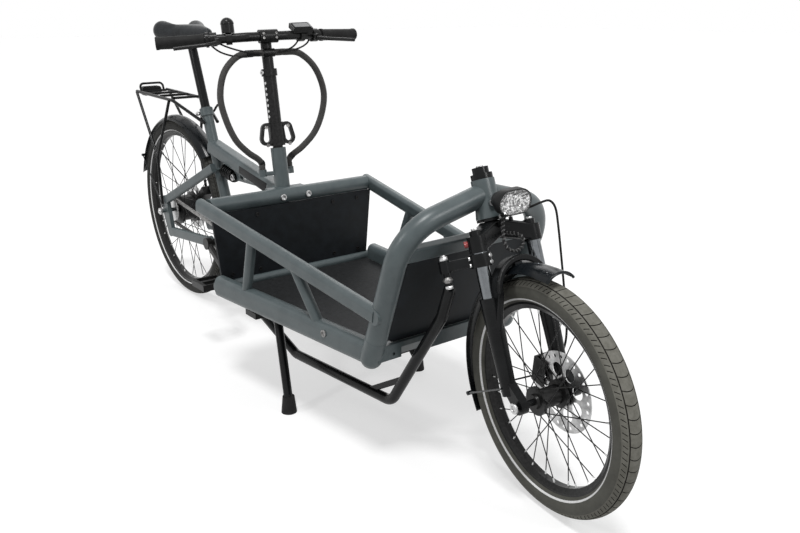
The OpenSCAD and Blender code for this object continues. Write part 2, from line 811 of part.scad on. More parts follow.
// Rim, spokes and hub of a wheel with a tyre of outer radius r and width w
module wire_wheel(r, w, hub_d, hub_w) {
    seat = rim_seat(r, w);
    about_axle([
        [seat, -rim_w / 2], [seat, rim_w / 2], [seat - rim_h * 0.4, rim_w / 2],
        [seat - rim_h, rim_w / 4], [seat - rim_h, -rim_w / 4], [seat - rim_h * 0.4, -rim_w / 2]
    ]);
    difference() {
        about_axle([
            [0, -hub_w], [axle_d / 2 + 8, -hub_w], [axle_d / 2 + 10, -flange_half - 4],
            [hub_d / 2, -flange_half - 4], [hub_d / 2, -flange_half + 4], [hub_d / 2 - 9, -flange_half + 6],
            [hub_d / 2 - 9, flange_half - 6], [hub_d / 2, flange_half - 4], [hub_d / 2, flange_half + 4],
            [axle_d / 2 + 10, flange_half + 4], [axle_d / 2 + 8, hub_w], [0, hub_w]
        ]);
        rotate([90, 0, 0]) cylinder(h = 3 * hub_w, d = axle_d + 2 * run_gap, center = true);
    }
    for (i = [0 : spoke_count - 1]) {
        side = i % 2 == 0 ? 1 : -1;
        lace = floor(i / 2) % 2 == 0 ? 1 : -1;
        at_rim = 360 * i / spoke_count;
        at_hub = at_rim + lace * 58;
        hub_r = hub_d / 2 - 3.5;
        rim_r = seat - rim_h + 3;
        bar(
            [hub_r * cos(at_hub), side * (flange_half + lace * 2.2), hub_r * sin(at_hub)],
            [rim_r * cos(at_rim), side * 3, rim_r * sin(at_rim)], spoke_d
        );
    }
}

// Brake disc with ventilation windows and a carrier
module disc(r, bore) rotate([90, 0, 0]) linear_extrude(disc_t, center = true) difference() {
    circle(r = r);
    circle(d = bore);
    for (i = [0 : 7]) rotate(45 * i) translate([r * 0.56, 0]) circle(r = r * 0.17);
    for (i = [0 : 23]) rotate(15 * i) translate([r * 0.88, 0]) circle(r = r * 0.045);
}

module rear_tyre() color(tyre_grey) bike() rear_wheel_frame() tyre(rear_r, rear_tyre_w);
module rear_wire_wheel() color(satin_black) bike() rear_wheel_frame()
    wire_wheel(rear_r, rear_tyre_w, rear_hub_d, hub_half);
module rear_disc() color(bright_steel) bike() rear_wheel_frame()
    translate([0, disc_y, 0]) disc(rear_disc_r, axle_d + 12);
module sprocket() color(bright_steel) bike() rear_wheel_frame() difference() {
    union() {
        across([0, -chain_y, 0], 5, 2 * sprocket_r);
        translate([0, -hub_half - seat_gap, 0]) rotate([90, 0, 0])
            cylinder(h = chain_y - hub_half - seat_gap, d = 44);
    }
    across([0, -chain_y, 0], 60, axle_d + 2 * run_gap);
}

module front_tyre() color(tyre_grey) bike() front_wheel_frame() tyre(front_r, front_tyre_w);
module front_wire_wheel() color(satin_black) bike() front_wheel_frame()
    wire_wheel(front_r, front_tyre_w, front_hub_d, hub_half);
module front_disc() color(bright_steel) bike() front_wheel_frame()
    translate([0, disc_y, 0]) disc(front_disc_r, axle_d + 12);

// Fork

crown_top = -7;
crown_low = -36;
crown_d = 50;
cap_d = 40;
cap_top = -31;
cap_low = -66;
knob_h = 11;
stanchion_top = -46;
slide_top = -163;
slide_depth = 20;
fork_arch_x = leg_lead + 23;
fork_arch_r = 62;
fork_arch_t = 14;
fork_arch_w = 32;
fork_arch_z = slide_top + 7;

// Two forged arms that slope from the steerer down to the legs
module crown_bridge() for (s = [-1, 1]) hull() {
    translate([0, 0, crown_low]) cylinder(h = crown_top - crown_low, d = crown_d, $fn = 32);
    translate([leg_lead, s * leg_half, cap_low + 4])
        cylinder(h = cap_top - cap_low - 7, d = cap_d - 1, $fn = 32);
}

module fork_crown() color(satin_black) bike() fork_frame() {
    translate([0, 0, -run_gap - 6]) cylinder(h = 6, d = head_d + 10);
    translate([0, 0, head_len + run_gap]) cylinder(h = 12, d = head_d - 4);
    translate([0, 0, head_len + run_gap + 11]) cylinder(h = 15, d = head_d - 16);
    translate([0, 0, crown_low + 4]) cylinder(h = head_len - crown_low + 12, d = steerer_d);
    translate([hose_route[0][0], hose_route[0][1], crown_low])
        cylinder(h = hose_route[0][2] - seat_gap - crown_low, d = hose_d + 4);
    difference() {
        union() {
            crown_bridge();
            for (s = [-1, 1]) translate([leg_lead, s * leg_half, cap_low]) {
                cylinder(h = cap_top - cap_low, d = cap_d);
                translate([0, 0, 5]) cylinder(h = cap_top - cap_low - 5 + knob_h, d = cap_d - 16);
            }
        }
        for (s = [-1, 1]) translate([leg_lead, s * leg_half, cap_low - 1])
            cylinder(h = stanchion_top - cap_low + 2, d = stanchion_d + 2 * seat_gap);
    }
}

module stanchions() color(satin_black) bike() fork_frame() for (s = [-1, 1])
    translate([leg_lead, s * leg_half, slide_top - slide_depth])
        cylinder(h = stanchion_top - slide_top + slide_depth, d = stanchion_d);

// Right or left lower leg with the end of the axle and the shoulder that carries the arch
module lower_leg(s) {
    taper([leg_lead, s * leg_half, -fork_drop + 22], [leg_lead, s * leg_half, slide_top],
        leg_low_d, lower_leg_d);
    hull() {
        across([fork_offset, s * leg_half, -fork_drop], 18, 34);
        across([leg_lead + 2, s * leg_half, -fork_drop + 44], 18, 26);
    }
    hull() {
        translate([fork_arch_x, s * fork_arch_r, fork_arch_z])
            cube([fork_arch_w - 2, fork_arch_t - 1, 2], center = true);
        translate([leg_lead + 10, s * leg_half, slide_top - 70]) cylinder(h = 2, d = 18, $fn = 24);
    }
}

module fork_lowers() color(satin_black) bike() fork_frame() {
    difference() {
        union() {
            for (s = [-1, 1]) lower_leg(s);
            translate([fork_arch_x, 0, fork_arch_z]) rotate([90, 0, 90]) rotate_extrude(angle = 180)
                translate([fork_arch_r, 0]) polygon(rounded(fork_arch_t, fork_arch_w, 4));
        }
        for (s = [-1, 1]) translate([leg_lead, s * leg_half, slide_top - slide_depth - 1])
            cylinder(h = 80, d = stanchion_d + 2 * seat_gap);
        across([fork_offset, 0, -fork_drop], 400, axle_d + 2 * seat_gap);
    }
    across([fork_offset, 0, -fork_drop], 2 * leg_half + 30, axle_d);
}

front_guard_from = 70;
front_guard_to = 192;
front_guard_edge = front_r - front_tyre_w / 2 + 29;
guard_shift = [5, 0, 13];
bill_len = 35;
guard_tab_w = 18;

// Front mudguard: shell round the tyre, straight bill, stays to the legs' outer sides, tab under the arch
module front_guard() color(satin_black) bike() {
    mid_r = front_r - front_tyre_w / 2;
    front_wheel_frame() {
        translate(guard_shift) {
            about_axle(guard_section(mid_r, front_tyre_w, 52), front_guard_to - front_guard_from,
                front_guard_from);
            rotate([90, 0, 0]) rotate(front_guard_from) rotate([90, 0, 0]) translate([0, 0, -1])
                linear_extrude(bill_len + 1) polygon(guard_section(mid_r, front_tyre_w, 53, 0.3));
        }
        rivet = guard_shift + front_guard_edge * [cos(182), 0, sin(182)];
        both_sides() {
            translate(rivet) rotate([90, 0, 0]) translate([0, 0, 27]) cylinder(h = 16, d = 10);
            bar(rivet - [0, 39, 0], [leg_lead - fork_offset, -leg_half - leg_low_d / 2 - 3, 40], 4);
        }
    }
    tab_low = guard_shift[2] + front_r - fork_drop + guard_gap + 0.2;
    tab_high = fork_arch_z - seat_gap
        + sqrt(pow(fork_arch_r - fork_arch_t / 2, 2) - pow(guard_tab_w / 2, 2));
    fork_frame() translate([fork_arch_x, 0, (tab_low + tab_high) / 2])
        cube([14, guard_tab_w, tab_high - tab_low], center = true);
}

lamp_at = [82, 0, 26];
module headlamp() color(lamp_clear) bike() fork_frame() {
    translate(lamp_at) rotate([0, head_lean, 0]) rotate([0, 90, 0]) {
        hull() for (s = [-1, 1]) translate([0, s * 14, 0]) cylinder(h = 22, d = 54, $fn = 32);
        hull() for (s = [-1, 1]) translate([0, s * 8, -28]) cylinder(h = 30, d = 36, $fn = 32);
    }
    difference() {
        bar([20, 0, -26], lamp_at - [16, 0, 10], 12);
        crown_bridge();
    }
}

module front_caliper() color(satin_black) bike() front_wheel_frame() difference() {
    translate([-62, disc_y + 11, 44]) rotate([0, 30, 0]) cube([38, 38, 60], center = true);
    across([0, disc_y, 0], disc_slot, 2 * front_disc_r + 14);
    taper([leg_lead - fork_offset, leg_half, 22], [leg_lead - fork_offset, leg_half, fork_drop + slide_top],
        leg_low_d + 2 * seat_gap, lower_leg_d + 2 * seat_gap);
}

module steering_clamp() color(satin_black) bike() fork_frame() {
    tip = [arm_tip[0], arm_tip[1], -ball_drop];
    difference() {
        union() {
            translate([leg_lead, -leg_half, -ball_drop - 14]) cylinder(h = 28, d = stanchion_d + 16);
            beam([leg_lead, -leg_half, -ball_drop], tip, 20, 22, 5);
            translate(tip - [0, 0, 13]) cylinder(h = 26, d = 26);
        }
        translate([leg_lead, -leg_half, -ball_drop - 20]) cylinder(h = 40, d = stanchion_d + 2 * seat_gap);
    }
}

// Brake hose from the head tube over to the left leg, in the fork's own frame
hose_d = 5;
hose_route = [
    [30, 30, -6.8], [34, 31, 4], [52, 35, 12], [80, 44, 4], [102, 60, 8], [113, 76, 8], [112, 88, -10],
    [103, 92, -50], [91, 93, -110], [78, 94, -170], [64, 96, -230], [42, 97, -290], [18, 92, -326],
    [4, 70.3, -346]
];
module brake_hose() color(satin_black) bike() fork_frame() hose(smooth(hose_route, 3), hose_d);

// Handlebar

stem_d = 30;
post_d = 38;
fold_low = column_len + 6;
fold_high = column_len + 74;
collar_at = 654;

module stem() color(satin_black) bike() bar_frame() {
    translate([0, 0, -8]) cylinder(h = fold_low + 8, d = stem_d);
    translate([0, 0, fold_high]) cylinder(h = collar_at - fold_high, d = post_d);
    translate([0, 0, collar_at - 8]) cylinder(h = 20, d = post_d + 8);
    across([loop_route[0][0], 0, loop_high], 34, sleeve_d + 5);
    difference() {
        union() {
            translate([0, 0, collar_at]) cylinder(h = bar_rise - collar_at, d = post_d - 6);
            bar([0, 0, bar_rise - 6], [bar_lead, 0, bar_rise], 30);
            across([bar_lead, 0, bar_rise], 54, bar_d + 12);
        }
        across([bar_lead, 0, bar_rise], 60, bar_d + 2 * seat_gap);
    }
}

// Folding joint of the post with an ear on each side, each with a window
ear_x = 6;
ear_t = 12;
module ear(s, grow) hull() {
    translate([ear_x, s * 34, fold_low + 22]) rotate([0, 90, 0])
        cylinder(h = ear_t - grow, d = 40 + grow, center = true, $fn = 32);
    translate([ear_x, s * 30, fold_low + 50]) rotate([0, 90, 0])
        cylinder(h = ear_t - grow, d = 36 + grow, center = true, $fn = 32);
}
module fold_clamp() color(satin_black) bike() bar_frame() {
    translate([0, 0, fold_low]) cylinder(h = fold_high - fold_low, d = 46);
    for (s = [-1, 1]) difference() {
        ear(s, 0);
        ear(s, -20);
    }
}

function bar_point(y) = [
    abs(y) < 60 ? bar_lead : bar_lead - bar_sweep * (abs(y) - 60) / (bar_half - 60), y, bar_rise
];

module handlebar() color(satin_black) bike() bar_frame()
    bent_tube([bar_point(-bar_half), bar_point(-60), bar_point(60), bar_point(bar_half)], bar_d, 60);

module grips() color(satin_black) bike() bar_frame() both_sides() difference() {
    bar(bar_point(-bar_half + grip_len), bar_point(-bar_half) + [-1, -4, 0], grip_d);
    bar(bar_point(-60), bar_point(-bar_half), bar_d + 2 * seat_gap);
}

// Levers, shifter ring, bell and display, counted inwards from the grips
grip_from = bar_half - grip_len;
module controls() color(satin_black) bike() bar_frame() difference() {
    union() {
        both_sides() {
            bar(bar_point(-grip_from + 14), bar_point(-grip_from + 32), bar_d + 12);
            pivot_end = bar_point(-grip_from + 22) + [34, 4, -10];
            bar(bar_point(-grip_from + 22), pivot_end, 18);
            bent_tube([
                pivot_end, bar_point(-grip_from - 8) + [60, 0, -18],
                bar_point(-grip_from - 98) + [56, 0, -22]
            ], 10, 20);
        }
        bar(bar_point(-grip_from + 2), bar_point(-grip_from + 10), bar_d + 16);
        translate(bar_point(-grip_from + 64) + [0, 0, 14]) cylinder(h = 24, d = 36);
        bar(bar_point(-grip_from + 56), bar_point(-grip_from + 72), bar_d + 10);
        translate(bar_point(grip_from - 70) + [10, 0, 20]) rotate([0, 30, 0])
            cube([40, 60, 14], center = true);
        bar(bar_point(grip_from - 78), bar_point(grip_from - 62), bar_d + 10);
    }
    both_sides() bar(bar_point(-61), bar_point(-bar_half), bar_d + 2 * seat_gap);
}

stud_len = 50;
eye_drop = 41;
module steering_lever() color(satin_black) bike() bar_frame() {
    tip = [arm_tip[0], arm_tip[1], 0];
    difference() {
        union() {
            translate([0, 0, -8]) cylinder(h = 20, d = column_d);
            beam([0, 0, 2], tip + [0, 0, 2], 26, 16, 5);
            translate(tip + [0, 0, -7.5]) cylinder(h = 19, d = 30);
        }
        translate([0, 0, -10]) cylinder(h = 30, d = stem_d + 2 * seat_gap);
    }
    translate(tip + [0, 0, -6 - stud_len]) cylinder(h = stud_len, d = 8);
    translate(tip + [0, 0, -6 - stud_len - 5]) cylinder(h = 5, d = 16);
}

// Two sleeved cable bundles that balloon out beside the column, in the column's frame with the bar straight.
// They twist with the bar, from nothing at their lower ends to its full turn at the upper ones.
sleeve_d = 19;
loop_high = 711;
loop_low = 378;
loop_route = [
    [14, -17.2, 711], [14, -32, 711], [14, -48, 711], [14, -94, 705], [8, -142, 662], [-2, -170, 594],
    [-8, -164, 532], [-12, -136, 474], [-18, -94, 434], [-25, -60, 412], [-26, -46, 397], [-26, -46, 387],
    [-26, -46, 378]
];
// How much narrower the right loop's belly is than the left one's
loop_tuck = 17;
function belly(p) = pow(sin(180 * (p[2] - loop_low) / (loop_high - loop_low)), 2);
function twisted(p) = turned(p, steer_rest * (p[2] - loop_low) / (loop_high - loop_low));
module cable_loops() color(satin_black) bike() column_frame() {
    hose([for (p = smooth(loop_route, 3)) twisted(p + [0, loop_tuck * belly(p), 0])], sleeve_d);
    hose([for (p = smooth(loop_route, 3)) twisted([p[0], -p[1], p[2]])], sleeve_d);
}

// Steering rod: from the fork's arm down under the bay and back to the column's lever

rod_bend_r = 45;
rod_low = [1420, 128];
rod_rear = [975, 100];
rod_brace = 95;
rod_pin = [arm_tip[0], arm_tip[1], -ball_drop - 46];
rod_front = fork_at(rod_pin);
rod_knee = rod_front - [24, 0, 70];
rod_corner = [rod_low[0], rod_front[1], rod_low[1]];

// Way of the rod's slanting leg at full right lock, cut out of the bay's front rail
lock_right = steer_rest - 18;
relief_gap = 4;
relief_w = 80;
module rod_relief() translate(fork_at(rod_pin, lock_right) - rod_front)
    beam(rod_corner, rod_knee, relief_w, rod_d + 2 * relief_gap, 2);

module steering_rod() color(satin_black) bike() {
    front = rod_front;
    rear = bar_at([arm_tip[0], arm_tip[1], -eye_drop]);
    knee = rod_knee;
    corner = rod_corner;
    back = [rod_rear[0], front[1], rod_rear[1]];
    difference() {
        union() {
            bent_tube([front, knee, corner, back, rear + [40, 0, 8], rear], rod_d, rod_bend_r);
            translate(rear) rotate([0, -column_lean, 0]) cylinder(h = 14, d = 40, center = true);
            beam(corner + rod_brace * unit(knee - corner), corner + rod_brace * unit(back - corner),
                7, 15, 3);
        }
        translate(rear) rotate([0, -column_lean, 0]) cylinder(h = 60, d = 22, center = true);
    }
    bar(front, fork_at([arm_tip[0], arm_tip[1], -ball_drop - 13 - seat_gap]), 14);
}

// Stand

stand_axle_d = 16;
stand_half = 178;
stand_leg_d = 24;
foot_h = 34;
module stand_legs() color(satin_black) bike() {
    across([stand_x, 0, stand_z], 2 * stand_half, stand_axle_d);
    both_sides() {
        across([stand_x, -stand_half, stand_z], 20, 34);
        bar([stand_x, -stand_half, stand_z], [stand_x + stand_reach, -foot_half, foot_h], stand_leg_d);
    }
}

module stand_feet() color(satin_black) bike() both_sides() difference() {
    translate([stand_x + stand_reach, -foot_half, 0]) cylinder(h = foot_h + 12, d1 = 42, d2 = 32);
    bar([stand_x, -stand_half, stand_z], [stand_x + stand_reach, -foot_half, foot_h],
        stand_leg_d + 2 * seat_gap);
}

// Cranks and pedals

crank_turn = -30;
function crank_end(s) = [
    bb_x - s * crank_len * cos(crank_turn), s * crank_half, bb_z - s * crank_len * sin(crank_turn)
];
pedal_w = 92;
pedal_l = 84;

module cranks() color(satin_black) bike() difference() {
    union() {
        across([bb_x, 0, bb_z], 2 * crank_half + 16, spindle_d);
        across([bb_x, -chain_y, bb_z], 5, 2 * chainring_r);
        for (s = [-1, 1]) {
            across([bb_x, s * crank_half, bb_z], 18, 40);
            beam([bb_x, s * crank_half, bb_z], crank_end(s), 14, 26, 6, [0.3, 0, 1]);
            across(crank_end(s), 16, 30);
        }
    }
    for (s = [-1, 1]) across(crank_end(s), 40, 12 + 2 * run_gap);
}

// One pedal on its axle, s is the side
module pedal(s) translate(crank_end(s)) {
    translate([0, s * 6, 0]) rotate([-s * 90, 0, 0]) translate([0, 0, -14])
        cylinder(h = pedal_w + 24, d = 12);
    translate([0, s * (20 + pedal_w / 2), 0]) difference() {
        cube([pedal_l, pedal_w, 20], center = true);
        for (i = [-1, 1]) translate([i * pedal_l / 4, 0, 0])
            cube([pedal_l / 3, pedal_w - 24, 40], center = true);
    }
}

module pedal_right() color(satin_black) bike() pedal(-1);
module pedal_left() color(satin_black) bike() pedal(1);

lower_tubes();
side_rails();
bay_braces();
front_arch();
head_tube();
cross_rails();
floor_board();
rear_board();
front_board();
seat_tube();
top_tube();
column_tube();
main_beam();
upper_stays();
chain_stays();
shock();
motor();
battery();
seat_post();
saddle();
rack_platform();
rack_struts();
rear_guard();
rear_lamp();
chain();
rear_caliper();
stand_bracket();
rear_tyre();
rear_wire_wheel();
rear_disc();
sprocket();
fork_crown();
stanchions();
fork_lowers();
front_guard();
headlamp();
front_caliper();
steering_clamp();
brake_hose();
front_tyre();
front_wire_wheel();
front_disc();
stem();
fold_clamp();
handlebar();
grips();
controls();
steering_lever();
cable_loops();
steering_rod();
stand_legs();
stand_feet();
cranks();
pedal_right();
pedal_left();
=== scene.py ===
# %% [markdown]
# # A front-loading electric cargo bike
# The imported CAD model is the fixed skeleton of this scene: tubes, wheels, fork, bay and stand are already in
# place and already move. This lesson adds what CAD leaves plain: paint, rubber and leather, the tyres' tread,
# the padded saddle, the lamp's glass, the sleeved cables and the many small fasteners.

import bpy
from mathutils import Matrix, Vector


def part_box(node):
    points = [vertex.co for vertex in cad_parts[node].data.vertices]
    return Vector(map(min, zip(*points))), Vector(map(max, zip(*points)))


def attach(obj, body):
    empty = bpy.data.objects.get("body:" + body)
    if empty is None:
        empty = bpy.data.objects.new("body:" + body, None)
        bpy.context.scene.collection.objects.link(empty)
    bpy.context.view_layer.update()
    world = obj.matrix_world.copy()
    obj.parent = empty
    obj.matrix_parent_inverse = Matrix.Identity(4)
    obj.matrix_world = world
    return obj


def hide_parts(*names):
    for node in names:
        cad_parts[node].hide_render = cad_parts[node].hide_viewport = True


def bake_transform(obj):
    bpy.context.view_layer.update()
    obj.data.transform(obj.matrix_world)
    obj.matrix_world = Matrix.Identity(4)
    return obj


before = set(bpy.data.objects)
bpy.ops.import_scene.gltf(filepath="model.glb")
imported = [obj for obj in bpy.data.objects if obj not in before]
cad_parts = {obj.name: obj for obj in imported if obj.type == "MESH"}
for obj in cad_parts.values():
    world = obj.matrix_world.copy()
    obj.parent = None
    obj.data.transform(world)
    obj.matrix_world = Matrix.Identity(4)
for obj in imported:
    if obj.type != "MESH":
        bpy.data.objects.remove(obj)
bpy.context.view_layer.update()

# %% [markdown]
# ## Places on the bike
# CAD measures from the rear axle in millimetres, and Blender works in metres with the origin on the floor under
# the middle of the bike. One matrix for each tilted or turned part lets us model a piece upright at the origin and
# then drop it where it belongs: the head tube leans back, and fork and handlebar are turned a little to the right.

# %% Matrices of the turned parts
from math import atan2, cos, degrees, hypot, pi, radians, sin, sqrt

import bmesh
import bpy
from mathutils import Matrix, Vector

MM = 0.001
BIKE_SHIFT = -866
STEER_REST = -9
WHEEL_BASE, FRONT_R, REAR_R = 1815, 258, 326
FRONT_TYRE_W, REAR_TYRE_W = 55, 48
HEAD_LEAN, FORK_OFFSET, FORK_DROP, HEAD_LEN = 20, 68, 392, 84
COLUMN_X, COLUMN_Z, COLUMN_LEAN = 772, 205, 8


def moved(x, y, z):
    """A shift in millimetres."""
    return Matrix.Translation((x * MM, y * MM, z * MM))


def turned(angle, axis):
    """A turn in degrees about an axis."""
    return Matrix.Rotation(radians(angle), 4, axis)


HEAD_X = WHEEL_BASE - FORK_OFFSET * cos(radians(HEAD_LEAN)) - FORK_DROP * sin(radians(HEAD_LEAN))
HEAD_Z = FRONT_R - FORK_OFFSET * sin(radians(HEAD_LEAN)) + FORK_DROP * cos(radians(HEAD_LEAN))
BIKE = moved(BIKE_SHIFT, 0, 0)
HEAD = BIKE @ moved(HEAD_X, 0, HEAD_Z) @ turned(-HEAD_LEAN, "Y")
FORK = HEAD @ turned(STEER_REST, "Z")
FRONT_WHEEL = FORK @ moved(FORK_OFFSET, 0, -FORK_DROP)
REAR_WHEEL = BIKE @ moved(0, 0, REAR_R)
COLUMN = BIKE @ moved(COLUMN_X, 0, COLUMN_Z) @ turned(-COLUMN_LEAN, "Y")
BAR = COLUMN @ turned(STEER_REST, "Z")
print("front axle at", FRONT_WHEEL.translation, "rear axle at", REAR_WHEEL.translation)

# %% [markdown]
# ## Camera
# The photograph was taken from the front right, a little above the handlebar's height. The place, the direction
# and the focal length were worked out from the two wheels' circles in the picture, so they are plain numbers here.

# %% Camera
PHOTO_WIDTH, FOCAL_PIXELS, SENSOR = 800, 831, 36
YAW, PITCH, ROLL = radians(142.25), radians(-17.46), radians(-0.25)
eye = Vector((2.004, -1.217, 1.040))
forward = Vector((cos(PITCH) * cos(YAW), cos(PITCH) * sin(YAW), sin(PITCH)))
right = forward.cross(Vector((0, 0, 1))).normalized()
up = right.cross(forward)
level = Matrix((right, up, -forward)).transposed().to_4x4()
bpy.ops.object.camera_add()
camera = bpy.context.active_object
camera.name = "photo_camera"
camera.data.lens = SENSOR * FOCAL_PIXELS / PHOTO_WIDTH
camera.data.sensor_width = SENSOR
camera.matrix_world = Matrix.Translation(eye) @ level @ Matrix.Rotation(ROLL, 4, "Z")
bpy.context.scene.camera = camera
print("lens in millimetres:", round(camera.data.lens, 2))

# %% [markdown]
# ## Floor, world and lamps
# A grey floor carries the shadow, and shows itself brighter to the camera and to mirrors alone, so that it runs out
# into white without throwing much light up at the bike. The world looks white in the same way, but lights the bike
# only softly, so that a colour comes out about as it is written. A sun from high up lights floor and bike, a small
# lamp gives the long highlights along the tubes, and two weak ones open the shadows.

# %% Floor
FLOOR_SIZE = 60
bpy.ops.object.select_all(action="DESELECT")
bpy.ops.mesh.primitive_plane_add(size=FLOOR_SIZE, location=(0, 0, 0))
floor = bpy.context.active_object
floor.name = "studio_floor"
floor_finish = bpy.data.materials.new("studio_floor")
floor_finish.use_nodes = True
floor_shader = floor_finish.node_tree.nodes["Principled BSDF"]
floor_shader.inputs["Base Color"].default_value = (0.5, 0.5, 0.5, 1)
floor_shader.inputs["Roughness"].default_value = 0.95
floor_shader.inputs["Specular IOR Level"].default_value = 0
floor_shader.inputs["Emission Color"].default_value = (1, 1, 1, 1)
floor_ray = floor_finish.node_tree.nodes.new("ShaderNodeLightPath")
floor_seen = floor_finish.node_tree.nodes.new("ShaderNodeMath")
floor_seen.operation = "MAXIMUM"
floor_glow = floor_finish.node_tree.nodes.new("ShaderNodeMapRange")
floor_glow.inputs["To Max"].default_value = 0.55
floor_finish.node_tree.links.new(floor_ray.outputs["Is Camera Ray"], floor_seen.inputs[0])
floor_finish.node_tree.links.new(floor_ray.outputs["Is Glossy Ray"], floor_seen.inputs[1])
floor_finish.node_tree.links.new(floor_seen.outputs[0], floor_glow.inputs["Value"])
floor_finish.node_tree.links.new(floor_glow.outputs[0], floor_shader.inputs["Emission Strength"])
floor.data.materials.append(floor_finish)

# %% World
world = bpy.data.worlds.new("studio")
world.use_nodes = True
bpy.context.scene.world = world
nodes, links = world.node_tree.nodes, world.node_tree.links
nodes.clear()
path = nodes.new("ShaderNodeLightPath")
seen = nodes.new("ShaderNodeMath")
seen.operation = "MAXIMUM"
mirrored = nodes.new("ShaderNodeMath")
mirrored.operation = "MAXIMUM"
links.new(path.outputs["Is Glossy Ray"], mirrored.inputs[0])
links.new(path.outputs["Is Transmission Ray"], mirrored.inputs[1])
links.new(path.outputs["Is Camera Ray"], seen.inputs[0])
links.new(mirrored.outputs[0], seen.inputs[1])
glow = nodes.new("ShaderNodeMapRange")
glow.inputs["To Min"].default_value = 0.34
glow.inputs["To Max"].default_value = 1.0
links.new(seen.outputs[0], glow.inputs["Value"])
background = nodes.new("ShaderNodeBackground")
background.inputs["Color"].default_value = (1, 1, 1, 1)
links.new(glow.outputs[0], background.inputs["Strength"])
sky = nodes.new("ShaderNodeOutputWorld")
links.new(background.outputs[0], sky.inputs["Surface"])
bpy.context.scene.view_settings.view_transform = "Standard"


# %% Lamps
def lamp_at(name, kind, place, target, power):
    """A lamp that looks at a point."""
    bpy.ops.object.light_add(type=kind, location=place)
    lamp = bpy.context.active_object
    lamp.name = name
    lamp.data.energy = power
    lamp.rotation_euler = (Vector(target) - Vector(place)).to_track_quat("-Z", "Y").to_euler()
    return lamp


BIKE_MIDDLE = (0, 0, 0.5)
lamp_at("high_sun", "SUN", (0.9, -1.0, 4.2), BIKE_MIDDLE, 1.9).data.angle = radians(12)
lamp_at("highlight_lamp", "AREA", (-0.2, -3.6, 2.6), BIKE_MIDDLE, 28).data.size = 0.45
lamp_at("front_lamp", "AREA", (4.2, 0.6, 2.6), BIKE_MIDDLE, 46).data.size = 0.7
lamp_at("back_lamp", "AREA", (-3.0, 2.6, 3.2), BIKE_MIDDLE, 20).data.size = 2.0

# %% [markdown]
# ## Finishes
# Every finish starts as one Principled shader fed by noise on Object coordinates, in metres, so that a grain of
# half a millimetre is the same size on the smallest bolt and on the largest board. `mottled` mixes two close
# colours, `uneven` varies the roughness and `grained` raises a fine bump. Each finish then adds what is special
# about it.

# %% Finish helpers
def finish_of(name, roughness=0.5, metallic=0.0, **sockets):
    """A new node material with its plain values set on the shader's own sockets."""
    material = bpy.data.materials.new(name)
    material.use_nodes = True
    shader = material.node_tree.nodes["Principled BSDF"]
    shader.inputs["Roughness"].default_value = roughness
    shader.inputs["Metallic"].default_value = metallic
    for socket, value in sockets.items():
        shader.inputs[socket.replace("_", " ")].default_value = value
    return material


def node(material, kind, **values):
    """A new node with its input values set by name."""
    made = material.node_tree.nodes.new("ShaderNode" + kind)
    for socket, value in values.items():
        made.inputs[socket.replace("_", " ")].default_value = value
    return made


def wire(material, source, target):
    material.node_tree.links.new(source, target)


def object_place(material):
    """Object coordinates, in metres."""
    return node(material, "TexCoord").outputs["Object"]


def noise_on(material, size, detail=3.0):
    """Noise with spots of about this size in metres."""
    made = node(material, "TexNoise", Scale=1 / size, Detail=detail, Roughness=0.6)
    wire(material, object_place(material), made.inputs["Vector"])
    return made.outputs["Fac"]


MIX_FROM, MIX_TO = 0.35, 0.65


def ramp(material, value, low, high):
    """A smooth mix of two colours, driven by a value."""
    made = node(material, "ValToRGB")
    made.color_ramp.elements[0].position = MIX_FROM
    made.color_ramp.elements[1].position = MIX_TO
    made.color_ramp.elements[0].color = (*low, 1)
    made.color_ramp.elements[1].color = (*high, 1)
    wire(material, value, made.inputs["Fac"])
    return made.outputs["Color"]


def mottled(material, low, high, size=0.02, detail=4.0):
    shader = material.node_tree.nodes["Principled BSDF"]
    wire(material, ramp(material, noise_on(material, size, detail), low, high), shader.inputs["Base Color"])


def uneven(material, low, high, size=0.03):
    made = node(material, "MapRange", To_Min=low, To_Max=high)
    wire(material, noise_on(material, size), made.inputs["Value"])
    wire(material, made.outputs[0], material.node_tree.nodes["Principled BSDF"].inputs["Roughness"])


def grained(material, height, size, value=None):
    """A bump of this height in metres, from noise or from a given value."""
    bump = node(material, "Bump", Distance=height, Strength=1.0)
    wire(material, value if value is not None else noise_on(material, size, 2.0), bump.inputs["Height"])
    wire(material, bump.outputs["Normal"], material.node_tree.nodes["Principled BSDF"].inputs["Normal"])


def grey(level, blue=1.0):
    """A nearly neutral linear colour."""
    return (level, level * (1 + blue) / 2, level * blue)


# %% [markdown]
# ### Paint and metal
# The frame has a satin slate-grey powder coat with a very fine orange-peel. Fork, rack, rod and stand are
# glossier black, the fork's sliders are polished, and discs, chain and sprocket are bare or dulled steel.

# %% Paint and metal
slate_paint = finish_of("slate_powder_coat", 0.36, Specular_IOR_Level=0.42)
mottled(slate_paint, (0.062, 0.079, 0.083), (0.082, 0.102, 0.106), 0.05)
uneven(slate_paint, 0.29, 0.41)
grained(slate_paint, 0.00012, 0.0018)

black_paint = finish_of("satin_black_paint", 0.26, Specular_IOR_Level=0.16)
mottled(black_paint, grey(0.004, 1.15), grey(0.008, 1.15), 0.04)
uneven(black_paint, 0.2, 0.32)
grained(black_paint, 0.00008, 0.0016)

black_anodised = finish_of("black_anodised_aluminium", 0.3, 0.3, Specular_IOR_Level=0.2)
mottled(black_anodised, grey(0.010), grey(0.022), 0.006)
uneven(black_anodised, 0.22, 0.38, 0.01)
grained(black_anodised, 0.00004, 0.0008)

